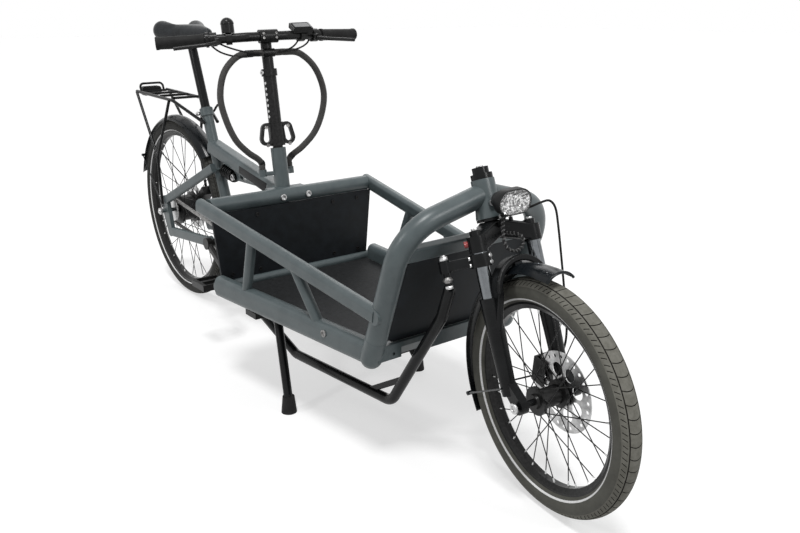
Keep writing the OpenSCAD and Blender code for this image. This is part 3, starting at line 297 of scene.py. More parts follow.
black_plastic = finish_of("moulded_black_plastic", 0.46, Specular_IOR_Level=0.16)
mottled(black_plastic, grey(0.006, 1.08), grey(0.012, 1.08), 0.02)
uneven(black_plastic, 0.36, 0.56, 0.01)
grained(black_plastic, 0.0001, 0.0011)

bright_steel = finish_of("bright_steel", 0.3, 1.0)
mottled(bright_steel, grey(0.45), grey(0.62), 0.008)
uneven(bright_steel, 0.22, 0.4, 0.004)
grained(bright_steel, 0.00003, 0.0006)

dull_steel = finish_of("dulled_steel", 0.42, 0.9)
mottled(dull_steel, grey(0.16, 0.95), grey(0.32, 0.97), 0.01)
uneven(dull_steel, 0.34, 0.55, 0.005)
grained(dull_steel, 0.00004, 0.0008)

slider_polish = finish_of("polished_slider_tube", 0.16, 1.0)
mottled(slider_polish, grey(0.15, 1.12), grey(0.2, 1.12), 0.03)
uneven(slider_polish, 0.12, 0.2)

# Near-black glossy mudguard plastic, tinted navy as a painted reflection of the sky.
guard_gloss_painted_sky = finish_of("glossy_mudguard_plastic_painted_sky_tint", 0.2, Specular_IOR_Level=0.18)
mottled(guard_gloss_painted_sky, grey(0.004, 1.6), grey(0.008, 1.6), 0.05)
uneven(guard_gloss_painted_sky, 0.16, 0.28, 0.05)

# %% [markdown]
# ### Boards, rubber and leather
# The bay's boards are black laminate with a faint fibre, and the floor has a fine raised mesh against slipping.
# The front tyre is grey with dust, and lighter where the tread rolls on the road, and the rear one is painted
# darker, as painted shade that falls on the rear wheel.

# %% Boards, rubber and leather
laminate = finish_of("black_laminate", 0.55, Specular_IOR_Level=0.2)
mottled(laminate, grey(0.004, 1.6), grey(0.008, 1.6), 0.03)
uneven(laminate, 0.5, 0.66)
grained(laminate, 0.00008, 0.0012)

mesh_floor = finish_of("mesh_film_plywood", 0.6, Specular_IOR_Level=0.2)
mottled(mesh_floor, grey(0.008, 1.12), grey(0.016, 1.12), 0.012)
uneven(mesh_floor, 0.5, 0.7, 0.01)
net = node(mesh_floor, "TexVoronoi", Scale=260.0, Randomness=0.12)
net.feature = "DISTANCE_TO_EDGE"
wire(mesh_floor, object_place(mesh_floor), net.inputs["Vector"])
grained(mesh_floor, 0.0005, 0.002, net.outputs["Distance"])

rubber = finish_of("tyre_rubber", 0.72, Specular_IOR_Level=0.3)
mottled(rubber, (0.062, 0.061, 0.052), (0.088, 0.087, 0.075), 0.03)
uneven(rubber, 0.64, 0.82)
grained(rubber, 0.00025, 0.002)

tread_rubber = finish_of("dusty_tread_rubber", 0.85, Specular_IOR_Level=0.25)
mottled(tread_rubber, (0.120, 0.117, 0.100), (0.166, 0.162, 0.142), 0.012)
uneven(tread_rubber, 0.8, 0.95)
grained(tread_rubber, 0.0003, 0.0015)

# Rubber in the tread's cuts is painted darker: painted shade in the recesses.
cut_shade_rubber = finish_of("rubber_painted_shade_in_cuts", 0.9, Specular_IOR_Level=0.1)
mottled(cut_shade_rubber, (0.022, 0.021, 0.019), (0.034, 0.033, 0.030), 0.01)
uneven(cut_shade_rubber, 0.85, 0.95)

# The rear tyre's rubber and tread are painted darker: painted shade that falls on the rear wheel.
rear_rubber_painted_shade = finish_of("rear_tyre_rubber_painted_shade", 0.72, Specular_IOR_Level=0.2)
mottled(rear_rubber_painted_shade, (0.020, 0.020, 0.019), (0.034, 0.034, 0.031), 0.03)
uneven(rear_rubber_painted_shade, 0.64, 0.82)
grained(rear_rubber_painted_shade, 0.00025, 0.002)

rear_tread_painted_shade = finish_of("rear_tread_rubber_painted_shade", 0.85, Specular_IOR_Level=0.16)
mottled(rear_tread_painted_shade, (0.046, 0.046, 0.042), (0.072, 0.071, 0.065), 0.012)
uneven(rear_tread_painted_shade, 0.8, 0.95)
grained(rear_tread_painted_shade, 0.0003, 0.0015)

soft_rubber = finish_of("soft_black_rubber", 0.6, Specular_IOR_Level=0.16)
mottled(soft_rubber, grey(0.010), grey(0.018), 0.02)
uneven(soft_rubber, 0.55, 0.72)
grained(soft_rubber, 0.0002, 0.0012)

stripe = finish_of("reflecting_stripe", 0.3)
mottled(stripe, grey(0.68), grey(0.8), 0.004)
uneven(stripe, 0.25, 0.4, 0.003)

saddle_leather = finish_of("saddle_leather", 0.4, Sheen_Weight=0.03, Specular_IOR_Level=0.22)
mottled(saddle_leather, grey(0.007, 1.4), grey(0.014, 1.4), 0.03)
uneven(saddle_leather, 0.3, 0.44)
pores = node(saddle_leather, "TexVoronoi", Scale=900.0)
wire(saddle_leather, object_place(saddle_leather), pores.inputs["Vector"])
grained(saddle_leather, 0.0002, 0.001, pores.outputs["Distance"])

red_plastic = finish_of("red_lamp_plastic", 0.25, Coat_Weight=0.4)
mottled(red_plastic, (0.22, 0.008, 0.008), (0.34, 0.014, 0.012), 0.01)
uneven(red_plastic, 0.2, 0.32)
print("finishes:", len(bpy.data.materials))

# %% [markdown]
# ### Hand the finishes to the CAD nodes
# A CAD node whose shape is right stays, and only its material changes.

# %% Finishes of the CAD nodes
NODE_FINISH = {
    slate_paint: "lower_tubes side_rails bay_braces front_arch head_tube cross_rails seat_tube top_tube "
                 "column_tube main_beam upper_stays chain_stays",
    laminate: "rear_board front_board",
    mesh_floor: "floor_board",
    black_paint: "shock seat_post rack_platform rack_struts stand_bracket fork_crown fork_lowers steering_clamp "
                 "steering_rod stand_legs steering_lever",
    black_anodised: "rear_wire_wheel front_wire_wheel stem fold_clamp handlebar cranks pedal_right pedal_left "
                    "rear_caliper front_caliper controls",
    black_plastic: "motor battery headlamp rear_lamp",
    guard_gloss_painted_sky: "rear_guard front_guard",
    slider_polish: "stanchions",
    bright_steel: "rear_disc front_disc sprocket",
    dull_steel: "chain",
    rubber: "rear_tyre front_tyre",
    soft_rubber: "grips stand_feet cable_loops brake_hose",
    saddle_leather: "saddle",
}
for finish, names in NODE_FINISH.items():
    for name in names.split():
        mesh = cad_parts[name].data
        mesh.materials.clear()
        mesh.materials.append(finish)
print("nodes without a finish:", set(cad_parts) - {n for names in NODE_FINISH.values() for n in names.split()})

# %% [markdown]
# ## Modelling helpers
# Each new piece begins as a primitive with everything else deselected, is shaped in edit mode on faces that are
# picked by their place or direction, and is then settled: dropped into its part's frame, with its place applied to
# the mesh, smoothed, painted and told which body it rides on.


# %% Modelling helpers
def start(name, add, **values):
    """Deselect everything, add one primitive and name it."""
    bpy.ops.object.select_all(action="DESELECT")
    add(**values)
    piece = bpy.context.active_object
    piece.name = piece.data.name = name
    return piece


def only(*pieces):
    """Select these pieces alone, the first one active."""
    bpy.ops.object.select_all(action="DESELECT")
    for piece in pieces:
        piece.select_set(True)
    bpy.context.view_layer.objects.active = pieces[0]


def edit(piece):
    """Open a piece in edit mode with nothing selected."""
    only(piece)
    bpy.ops.object.mode_set(mode="EDIT")
    bpy.context.tool_settings.mesh_select_mode = (False, False, True)
    bpy.ops.mesh.select_all(action="DESELECT")


def pick(piece, wanted):
    """In edit mode, select the faces whose middle and normal are wanted, and say how many."""
    bpy.ops.mesh.select_all(action="DESELECT")
    mesh = bmesh.from_edit_mesh(piece.data)
    chosen = [face for face in mesh.faces if wanted(face.calc_center_median(), face.normal)]
    for face in chosen:
        face.select_set(True)
    bmesh.update_edit_mesh(piece.data)
    return len(chosen)


def done():
    bpy.ops.object.mode_set(mode="OBJECT")


def modified(piece, kind, **values):
    """Add a modifier and apply it at once."""
    only(piece)
    modifier = piece.modifiers.new(kind.lower(), kind)
    for name, value in values.items():
        setattr(modifier, name, value)
    bpy.ops.object.modifier_apply(modifier=modifier.name)


def block(name, *size):
    """A box of a size in millimetres round the origin."""
    piece = start(name, bpy.ops.mesh.primitive_cube_add, size=MM)
    edit(piece)
    bpy.ops.mesh.select_all(action="SELECT")
    bpy.ops.transform.resize(value=size)
    done()
    return piece


def rounded(piece, width, segments=2, angle=30):
    """Bevel every edge sharper than an angle."""
    modified(piece, "BEVEL", width=width * MM, segments=segments, limit_method="ANGLE", angle_limit=radians(angle))


def placed(piece, place):
    """Move a piece by a matrix and apply its place to its mesh."""
    piece.matrix_world = place @ piece.matrix_world
    only(piece)
    bpy.ops.object.transform_apply(location=True, rotation=True, scale=True)
    return piece


def copies(piece, places, name):
    """Copies of one modelled piece, each with its own mesh, joined to one piece."""
    made = []
    for place in places:
        twin = piece.copy()
        twin.data = piece.data.copy()
        twin.data.transform(place @ piece.matrix_basis)
        twin.matrix_basis = Matrix.Identity(4)
        bpy.context.collection.objects.link(twin)
        made.append(twin)
    bpy.data.objects.remove(piece)
    only(*made)
    if len(made) > 1:
        bpy.ops.object.join()
    joined = bpy.context.active_object
    joined.name = joined.data.name = name
    return joined


def settle(piece, body, finish, place=None, smooth=35):
    """Drop a finished piece into its frame, smooth it, paint it and let it ride."""
    placed(piece, place if place is not None else Matrix.Identity(4))
    bpy.ops.object.shade_smooth_by_angle(angle=radians(smooth))
    if not piece.data.materials:
        piece.data.materials.append(finish)
    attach(piece, body)
    print(piece.name, "on", body, "with", len(piece.data.polygons), "faces")
    return piece


# %% [markdown]
# ## Tyres
# A road tyre has a fine tread: bowed cross cuts over the crown, one groove along each side of it and slanting
# slits on the shoulders. A circle spun about the axle has its faces in rows and rings. The rings are first bowed,
# by turning each point a little about the axle the further it lies from the crown, so that a bowed cut is simply
# one ring of faces, picked by its two angles and pushed in. Cuts are painted dark inside, as painted shade in the
# recesses, and the white line is one row of faces.

# %% Tyres
TREAD_EDGE, GROOVE_FROM, GROOVE_TO, SLIT_TO = 66, 31, 36, 59
CUT_DEPTH, CUT_EVERY, TUBE_SEGMENTS = 2.0, 13, 72
CUT_BOW, SLIT_SLANT = 6.5, 0.75


def bow(across, width):
    """How far a point of the tread lags behind the crown, in millimetres."""
    inner = min(across, GROOVE_TO) / GROOVE_TO
    outer = max(min(across, SLIT_TO) - GROOVE_TO, 0)
    return CUT_BOW * inner ** 2 + SLIT_SLANT * radians(outer) * width / 2


def tube_angle(point, radius):
    """How far round the tube's section a point lies, 0 on the crown, in degrees."""
    return degrees(atan2(point.z, hypot(point.x, point.y) - radius))


def tyre(name, radius, width, rings, stripe_r, place, body, node_name, side_finish, tread_finish):
    middle = (radius - width / 2) * MM
    piece = start(name, bpy.ops.mesh.primitive_circle_add, vertices=TUBE_SEGMENTS, radius=width / 2 * MM,
                  location=(middle, 0, 0), rotation=(radians(90), 0, 0))
    placed(piece, Matrix.Identity(4))
    edit(piece)
    bpy.ops.mesh.select_all(action="SELECT")
    bpy.ops.mesh.spin(steps=rings, angle=2 * pi, center=(0, 0, 0), axis=(0, 0, 1))
    bpy.ops.mesh.select_all(action="SELECT")
    bpy.ops.mesh.remove_doubles(threshold=0.00001)
    bpy.ops.mesh.normals_make_consistent(inside=False)
    done()
    for finish in (side_finish, tread_finish, stripe, cut_shade_rubber):
        piece.data.materials.append(finish)

    def lag(point):
        return bow(abs(tube_angle(point, middle)), width) / radius

    def is_cut(point, normal):
        ring = int(((atan2(point.y, point.x) - lag(point)) % (2 * pi)) / (2 * pi) * rings)
        across = abs(tube_angle(point, middle))
        crown = across < GROOVE_FROM and ring % CUT_EVERY == 0
        groove = GROOVE_FROM <= across < GROOVE_TO
        slit = GROOVE_TO + 4 <= across < SLIT_TO and ring % CUT_EVERY in (3, 9)
        return crown or groove or slit

    for vertex in piece.data.vertices:
        vertex.co.rotate(Matrix.Rotation(lag(vertex.co), 3, "Z"))
    edit(piece)
    count = pick(piece, is_cut)
    bpy.ops.mesh.extrude_region_shrink_fatten(TRANSFORM_OT_shrink_fatten={"value": -CUT_DEPTH * MM})
    done()
    stripe_at = degrees(atan2(sqrt((width / 2) ** 2 - (stripe_r - middle / MM) ** 2), stripe_r - middle / MM))
    for face in piece.data.polygons:
        across = abs(tube_angle(face.center, middle))
        depth = width / 2 * MM - hypot(hypot(face.center.x, face.center.y) - middle, face.center.z)
        if depth > CUT_DEPTH / 4 * MM:
            face.material_index = 3
        elif abs(across - stripe_at) < 5:
            face.material_index = 2
        elif across < TREAD_EDGE:
            face.material_index = 1
    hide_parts(node_name)
    print(name, "has", count, "faces in its cuts")
    return settle(piece, body, side_finish, place @ turned(90, "X"))


FRONT_CUTS, FRONT_STRIPE_R = 60, 214
REAR_CUTS, REAR_STRIPE_R = 76, 286
tyre("front_tyre_tread", FRONT_R, FRONT_TYRE_W, FRONT_CUTS * CUT_EVERY, FRONT_STRIPE_R, FRONT_WHEEL,
     "front_wheel", "front_tyre", rubber, tread_rubber)
tyre("rear_tyre_tread", REAR_R, REAR_TYRE_W, REAR_CUTS * CUT_EVERY, REAR_STRIPE_R, REAR_WHEEL,
     "rear_wheel", "rear_tyre", rear_rubber_painted_shade, rear_tread_painted_shade)

# %% [markdown]
# ## Sleeved cables
# Brake, shift and motor cables leave the bar in two grey sleeves that balloon out and come back to sockets beside
# the column, so that the bar can turn. The route is CAD's own list of points with a smooth curve through them. A
# curve with a round bevel gives an even tube, which becomes a mesh.

# %% Cable sleeves
SLEEVE_D, LOOP_HIGH, LOOP_LOW = 19, 711, 378
LOOP_ROUTE = [
    (14, -17.2, 711), (14, -32, 711), (14, -48, 711), (14, -94, 705), (8, -142, 662), (-2, -170, 594),
    (-8, -164, 532), (-12, -136, 474), (-18, -94, 434), (-25, -60, 412), (-26, -46, 397), (-26, -46, 387),
    (-26, -46, 378),
]
RIGHT_TUCK = 17


def smooth_run(points, steps):
    """Points of a smooth curve through the given ones."""
    points = [Vector(p) for p in points]
    last = len(points) - 1
    run = []
    for i in range(last):
        a, b, c, e = points[max(i - 1, 0)], points[i], points[i + 1], points[min(i + 2, last)]
        for k in range(steps):
            f = k / steps
            run.append(b + f * (c - a) / 2 + f * f * (a - 2.5 * b + 2 * c - 0.5 * e)
                       + f ** 3 * (1.5 * b - 1.5 * c + 0.5 * e - 0.5 * a))
    return run + [points[last]]


def run_length(points):
    return sum((b - a).length for a, b in zip(points, points[1:]))


def tube_along(name, points, diameter, resolution=4):
    """A closed round tube through points in metres, as a mesh."""
    bpy.ops.object.select_all(action="DESELECT")
    curve = bpy.data.curves.new(name, "CURVE")
    curve.dimensions = "3D"
    curve.bevel_depth = diameter / 2 * MM
    curve.bevel_resolution = resolution
    curve.use_fill_caps = True
    spline = curve.splines.new("POLY")
    spline.points.add(len(points) - 1)
    for knot, point in zip(spline.points, points):
        knot.co = (*point, 1)
    piece = bpy.data.objects.new(name, curve)
    bpy.context.collection.objects.link(piece)
    only(piece)
    bpy.ops.object.convert(target="MESH")
    return bpy.context.active_object


sleeve_cloth = finish_of("braided_grey_sleeve", 0.8, Sheen_Weight=0.15)
mottled(sleeve_cloth, (0.022, 0.021, 0.020), (0.056, 0.053, 0.050), 0.003)
uneven(sleeve_cloth, 0.72, 0.9)
braid = node(sleeve_cloth, "TexVoronoi", Scale=420.0, Randomness=0.35)
wire(sleeve_cloth, object_place(sleeve_cloth), braid.inputs["Vector"])
grained(sleeve_cloth, 0.0006, 0.002, braid.outputs["Distance"])


def loop_run(side, steps):
    """The route of one loop in metres, twisted from the still socket to the turned bar."""
    run = []
    for point in smooth_run(LOOP_ROUTE, steps):
        height = (point.z - LOOP_LOW) / (LOOP_HIGH - LOOP_LOW)
        tuck = RIGHT_TUCK * sin(pi * height) ** 2 if side == 1 else 0
        place = Vector((point.x, side * point.y + tuck, point.z)) * MM
        run.append(COLUMN @ (turned(STEER_REST * height, "Z") @ place))
    return run


TAPES = {1: ((0.16, 0.20), (0.80, 0.83)), -1: ((0.74, 0.785),)}
for side, name in ((1, "right_cable_sleeve"), (-1, "left_cable_sleeve")):
    run = loop_run(side, 6)
    sleeve = tube_along(name, run, SLEEVE_D)
    sleeve.data.materials.append(sleeve_cloth)
    only(sleeve)
    bpy.ops.object.shade_smooth_by_angle(angle=radians(40))
    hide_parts("cable_loops")
    for k, (first, last) in enumerate(TAPES[side]):
        part = run[round(first * len(run)):round(last * len(run)) + 1]
        tape = tube_along(name + "_tape_" + str(k + 1), part, SLEEVE_D + 1.4)
        tape.data.materials.append(black_plastic)
        rounded(tape, 0.4, 1, 60)
        bpy.ops.object.shade_smooth_by_angle(angle=radians(40))
        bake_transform(tape)
    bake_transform(sleeve)
    print(name, "is", round(run_length(run), 3), "m long")

# %% [markdown]
# ## Saddle
# The saddle is foam under a leather cover: two full lobes behind and a rounded nose. CAD holds its plain solid. A
# copy of that solid is remeshed to small even faces, and Blender's cloth with a little inner pressure swells it,
# which rounds the creases as a stretched cover does. The move is capped, so that the pad keeps its size.

# %% Saddle pad
VOXEL, SWELL_CAP, SWELL_FRAMES = 5, 5, 14
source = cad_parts["saddle"]
pad_mesh = source.data.copy()
saddle_pad = bpy.data.objects.new("saddle_pad", pad_mesh)
bpy.context.collection.objects.link(saddle_pad)
edit(saddle_pad)
bpy.ops.mesh.select_all(action="SELECT")
bpy.ops.mesh.remove_doubles(threshold=0.00005)
bpy.ops.transform.shrink_fatten(value=-1.5 * MM)
done()
modified(saddle_pad, "REMESH", mode="VOXEL", voxel_size=VOXEL * MM)
rest_points = [vertex.co.copy() for vertex in saddle_pad.data.vertices]
cloth = saddle_pad.modifiers.new("cover", "CLOTH")
cloth.settings.use_pressure = True
cloth.settings.uniform_pressure_force = 4
cloth.settings.effector_weights.gravity = 0
for step in range(1, SWELL_FRAMES + 1):
    bpy.context.scene.frame_set(step)
only(saddle_pad)
bpy.ops.object.modifier_apply(modifier=cloth.name)
bpy.context.scene.frame_set(1)
for vertex, old in zip(saddle_pad.data.vertices, rest_points):
    move = vertex.co - old
    if move.length > SWELL_CAP * MM:
        vertex.co = old + move.normalized() * SWELL_CAP * MM
modified(saddle_pad, "SMOOTH", factor=0.5, iterations=6)
modified(saddle_pad, "SUBSURF", levels=1, render_levels=1)
saddle_pad.data.materials.clear()
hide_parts("saddle")
settle(saddle_pad, "frame", saddle_leather, smooth=80)

# %% [markdown]
# ## Fasteners
# Bolts hold everything on a bike, and their bright heads are what the eye catches. One socket screw and one hexagon
# nut are modelled from a cylinder by inset, extrude and bevel, and then copied to every place: each place is a
# matrix whose Z points out of the surface.


# %% Fastener helpers
def facing(place, point, direction):
    """A place at a point in millimetres, with Z along a direction, in the frame of a part."""
    turn = Vector((0, 0, 1)).rotation_difference(Vector(direction)).to_matrix().to_4x4()
    return place @ moved(*point) @ turn


def top_face(center, normal):
    return normal.z > 0.9


def sunk(piece, inset, depth):
    """Inset the top of a piece and push the middle in, in millimetres."""
    edit(piece)
    pick(piece, top_face)
    bpy.ops.mesh.inset(thickness=inset * MM)
    bpy.ops.mesh.extrude_region_move(TRANSFORM_OT_translate={"value": (0, 0, -depth * MM)})
    done()


def screw(diameter, height):
    """A round socket screw head standing on its surface."""
    piece = start("screw", bpy.ops.mesh.primitive_cylinder_add, vertices=24, radius=diameter / 2 * MM,
                  depth=height * MM, location=(0, 0, height / 2 * MM))
    sunk(piece, diameter * 0.24, height * 0.6)
    rounded(piece, diameter * 0.05)
    return piece


def nut(diameter, height):
    """A hexagon nut with the end of its bolt."""
    piece = start("nut", bpy.ops.mesh.primitive_cylinder_add, vertices=6, radius=diameter / 2 * MM,
                  depth=height * MM, location=(0, 0, height / 2 * MM))
    edit(piece)
    pick(piece, top_face)
    bpy.ops.mesh.inset(thickness=diameter * 0.14 * MM)
    bpy.ops.mesh.extrude_region_move(TRANSFORM_OT_translate={"value": (0, 0, height * 0.35 * MM)})
    done()
    rounded(piece, diameter * 0.05)
    return piece


def on_both_sides(place, x, y, z):
    """Two places, right and left of a part's middle, that face outwards."""
    return [facing(place, (x, side * y, z), (0, side, 0)) for side in (-1, 1)]


def fasteners(name, body, made, places, finish=bright_steel):
    return settle(copies(made, places, name), body, finish)


# %% [markdown]
# ### Bolts of bay and frame
# The boards are screwed to the bars, the bar to the column's bracket, and a cap closes the brace's foot.

# %% Bolts of bay and frame
BOARD_FRONT, TOP_BAR_X, TOP_BAR_Z, TOP_BAR_R = 801.5, 780, 511, 22.5
BB_X, BB_Z = 388.01, 290
AHEAD, ASIDE, UPWARD = (1, 0, 0), (0, -1, 0), (0, 0, 1)
fasteners("top_bar_bolts", "frame", screw(19, 5),
          [facing(BIKE, (TOP_BAR_X + TOP_BAR_R - 0.5, y, TOP_BAR_Z), AHEAD) for y in (-42, 42)])
board_places = [facing(BIKE, (BOARD_FRONT, y, z), AHEAD) for y in (-216, -128, 128, 216) for z in (312, 474)]
fasteners("rear_board_screws", "frame", screw(11, 3), board_places, black_anodised)
fasteners("brace_foot_caps", "frame", screw(18, 4),
          [facing(BIKE, (1314, side * 240.5, 300), (0.08, side, 0)) for side in (-1, 1)], dull_steel)
shock_places = on_both_sides(BIKE, BB_X + 42, 11, 508) + on_both_sides(BIKE, BB_X - 46, 38.5, 520)
fasteners("shock_eye_bolts", "frame", screw(22, 7), shock_places)
fasteners("pivot_bolts", "frame", screw(22, 6), on_both_sides(BIKE, BB_X - 44, 81.5, BB_Z - 8), black_anodised)
fasteners("rear_axle_nuts", "frame", nut(26, 10), on_both_sides(BIKE, 0, 92, REAR_R))

# %% [markdown]
# ### Bolts of fork and steering
# The right fork leg carries the steering arm: its collar is closed by small screws, and a ball joint joins arm
# and rod. The axle's ends, the fork's caps and the cap on the head tube are screwed too.

# %% Bolts of fork and steering
LEG_X, LEG_Y, AXLE_OUT = 37, 70, 85
ARM_X, ARM_Y, BALL_Z = -17.7, -125.8, -82
collar_places = [facing(FORK, (LEG_X + 21 * cos(a), -LEG_Y + 21 * sin(a), z), (cos(a), sin(a), 0))
                 for a in (0.5, -1.9) for z in (-75, -89)]
fasteners("steering_collar_screws", "fork", screw(9, 5), collar_places)
fasteners("front_axle_caps", "fork", screw(24, 5), on_both_sides(FORK, FORK_OFFSET, AXLE_OUT, -FORK_DROP))
fasteners("fork_top_screws", "fork", screw(15, 5),
          [facing(FORK, (LEG_X, side * LEG_Y, -20), UPWARD) for side in (-1, 1)])
fasteners("head_cap_screw", "fork", screw(16, 4), [facing(FORK, (0, 0, HEAD_LEN + 26.4), UPWARD)])
fasteners("arm_nut", "fork", nut(20, 9), [facing(FORK, (ARM_X, ARM_Y, BALL_Z + 13), UPWARD)])
RING_TURN, RING_Z, RING_R = radians(-26), 30, 35
ring_way = (cos(RING_TURN), sin(RING_TURN), 0)
ring_point = (RING_R * ring_way[0], RING_R * ring_way[1], RING_Z)
fasteners("head_ring_bolt", "frame", screw(13, 4), [facing(HEAD, ring_point, ring_way)])


# %% Damper dial
DIAL_RIBS, DIAL_OUT, DIAL_Z, DIAL_TURN = 28, 19.5, -45, -2.1


def is_groove(center, normal):
    """Every second face round the dial."""
    return abs(normal.z) < 0.1 and int(degrees(atan2(center.y, center.x)) / 360 * DIAL_RIBS + DIAL_RIBS) % 2


dial = start("damper_dial", bpy.ops.mesh.primitive_cylinder_add, vertices=DIAL_RIBS, radius=7 * MM, depth=8 * MM,
             location=(0, 0, 4 * MM))
edit(dial)
pick(dial, is_groove)
bpy.ops.mesh.extrude_region_shrink_fatten(TRANSFORM_OT_shrink_fatten={"value": -0.7 * MM})
done()
rounded(dial, 0.3)
dial_way = (cos(DIAL_TURN), sin(DIAL_TURN), 0)
dial_point = (LEG_X + DIAL_OUT * dial_way[0], -LEG_Y + DIAL_OUT * dial_way[1], DIAL_Z)
settle(dial, "fork", red_plastic, facing(FORK, dial_point, dial_way))

# %% Ball joint
ball = start("ball_joint", bpy.ops.mesh.primitive_uv_sphere_add, segments=28, ring_count=16, radius=9.5 * MM)
edit(ball)
pick(ball, lambda center, normal: abs(center.z) < 1.5 * MM)
bpy.ops.mesh.extrude_region_shrink_fatten(TRANSFORM_OT_shrink_fatten={"value": 1.4 * MM})
done()
rounded(ball, 0.4)
settle(ball, "steering_rod", dull_steel, FORK @ moved(ARM_X, ARM_Y, BALL_Z - 28))
fasteners("rod_end_nut", "steering_rod", nut(20, 8), [facing(FORK, (ARM_X, ARM_Y, BALL_Z - 48), UPWARD)])

# %% [markdown]
# ### Spoke nipples and disc screws
# Each spoke ends in a bright nipple at the rim, which makes the ring of dots inside a black rim.

# %% Spoke nipples and disc screws
SPOKES, RIM_H, NIPPLE_LEN, LACE_TURN = 32, 18, 11, 58
FLANGE_OUT, LACE_STEP, FRONT_HUB_D, REAR_HUB_D = 29, 2.2, 62, 112
DISC_SCREWS, DISC_SCREW_R, DISC_OUT = 6, 19, 41


def nipples(name, body, place, tyre_r, tyre_w, hub_d):
    rim_r = tyre_r - tyre_w + 7 - RIM_H
    places = []
    for i in range(SPOKES):
        side, lace = (1 if i % 2 == 0 else -1), (1 if i // 2 % 2 == 0 else -1)
        at_rim, at_hub = radians(360 * i / SPOKES), radians(360 * i / SPOKES + lace * LACE_TURN)
        hub_r = hub_d / 2 - 3.5
        outer = Vector(((rim_r + 3) * cos(at_rim), side * 3, (rim_r + 3) * sin(at_rim)))
        inner = Vector((hub_r * cos(at_hub), side * (FLANGE_OUT + lace * LACE_STEP), hub_r * sin(at_hub)))
        way = (inner - outer).normalized()
        places.append(facing(place, outer + 2 * way, way))
    nipple = start("nipple", bpy.ops.mesh.primitive_cone_add, vertices=8, radius1=2.6 * MM, radius2=1.7 * MM,
                   depth=NIPPLE_LEN * MM, location=(0, 0, NIPPLE_LEN / 2 * MM))
    rounded(nipple, 0.4, 1, 40)
    return fasteners(name, body, nipple, places)


nipples("front_nipples", "front_wheel", FRONT_WHEEL, FRONT_R, FRONT_TYRE_W, FRONT_HUB_D)
nipples("rear_nipples", "rear_wheel", REAR_WHEEL, REAR_R, REAR_TYRE_W, REAR_HUB_D)
for name, body, place in (("front_disc_screws", "front_wheel", FRONT_WHEEL),
                          ("rear_disc_screws", "rear_wheel", REAR_WHEEL)):
    turns = [2 * pi * k / DISC_SCREWS for k in range(DISC_SCREWS)]
    ring = [facing(place, (DISC_SCREW_R * cos(a), DISC_OUT, DISC_SCREW_R * sin(a)), (0, 1, 0)) for a in turns]
    fasteners(name, body, screw(8, 2.5), ring, black_anodised)

# %% [markdown]
# ## Headlamp
# The lamp is an oval black housing with a bowl of bright facets behind a clear cover. A round start is made oval by
# moving its two halves apart. The bowl is a filled circle, inset ring by ring and pushed back, and every second
# point is lifted a little, so that each facet catches the light in its own way.

# %% Headlamp
LAMP = FORK @ moved(82, 0, 26) @ turned(HEAD_LEAN, "Y") @ turned(90, "Y")
LAMP_R, LAMP_SPREAD, LAMP_DEEP = 27, 14, 22
# The reflector's chrome is mottled from near black to bright: painted glints and dark reflections on its facets.
facet_chrome_painted_glints = finish_of("lamp_reflector_chrome_painted_glints", 0.12, 1.0)
mottled(facet_chrome_painted_glints, grey(0.06), grey(0.85), 0.0045, 1.0)
uneven(facet_chrome_painted_glints, 0.06, 0.2, 0.002)
lamp_glass = finish_of("clear_lamp_cover", 0.03, Transmission_Weight=1.0, IOR=1.45)
mottled(lamp_glass, grey(0.93), grey(0.98), 0.02)


def made_oval(piece, spread):
    """Move the two halves of a round piece apart along Y, in millimetres."""
    for vertex in piece.data.vertices:
        if abs(vertex.co.y) > 0.2 * MM:
            vertex.co.y += spread * MM if vertex.co.y > 0 else -spread * MM


housing = start("headlamp_housing", bpy.ops.mesh.primitive_cylinder_add, vertices=48, radius=LAMP_R * MM,
                depth=LAMP_DEEP * MM, location=(0, 0, LAMP_DEEP / 2 * MM))
placed(housing, Matrix.Identity(4))
edit(housing)
pick(housing, lambda center, normal: normal.z < -0.9)
bpy.ops.mesh.extrude_region_move(TRANSFORM_OT_translate={"value": (0, 0, -8 * MM)})
bpy.ops.transform.resize(value=(0.84, 0.84, 1), center_override=(0, 0, 0))
bpy.ops.mesh.extrude_region_move(TRANSFORM_OT_translate={"value": (0, 0, -16 * MM)})
bpy.ops.transform.resize(value=(0.7, 0.7, 1), center_override=(0, 0, 0))
done()
sunk(housing, 2.4, 15)
made_oval(housing, LAMP_SPREAD)
rounded(housing, 1.2)
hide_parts("headlamp")
settle(housing, "fork", black_plastic, LAMP)

bowl = start("headlamp_reflector", bpy.ops.mesh.primitive_circle_add, vertices=40, radius=(LAMP_R - 2.8) * MM,
             fill_type="NGON", location=(0, 0, (LAMP_DEEP - 3.5) * MM))
placed(bowl, Matrix.Identity(4))
edit(bowl)
bpy.ops.mesh.select_all(action="SELECT")
for drop in (3.4, 2.6, 1.8, 1.0, 0.4):
    bpy.ops.mesh.inset(thickness=4.2 * MM)
    bpy.ops.transform.translate(value=(0, 0, -drop * MM))
done()
for k, vertex in enumerate(bowl.data.vertices):
    if hypot(vertex.co.x, vertex.co.y) < (LAMP_R - 4) * MM:
        vertex.co.z += (0.9 if (k * 7) % 3 == 0 else -0.5) * MM
made_oval(bowl, LAMP_SPREAD - 1)
modified(bowl, "SOLIDIFY", thickness=0.8 * MM, offset=-1)
settle(bowl, "fork", facet_chrome_painted_glints, LAMP, 5)

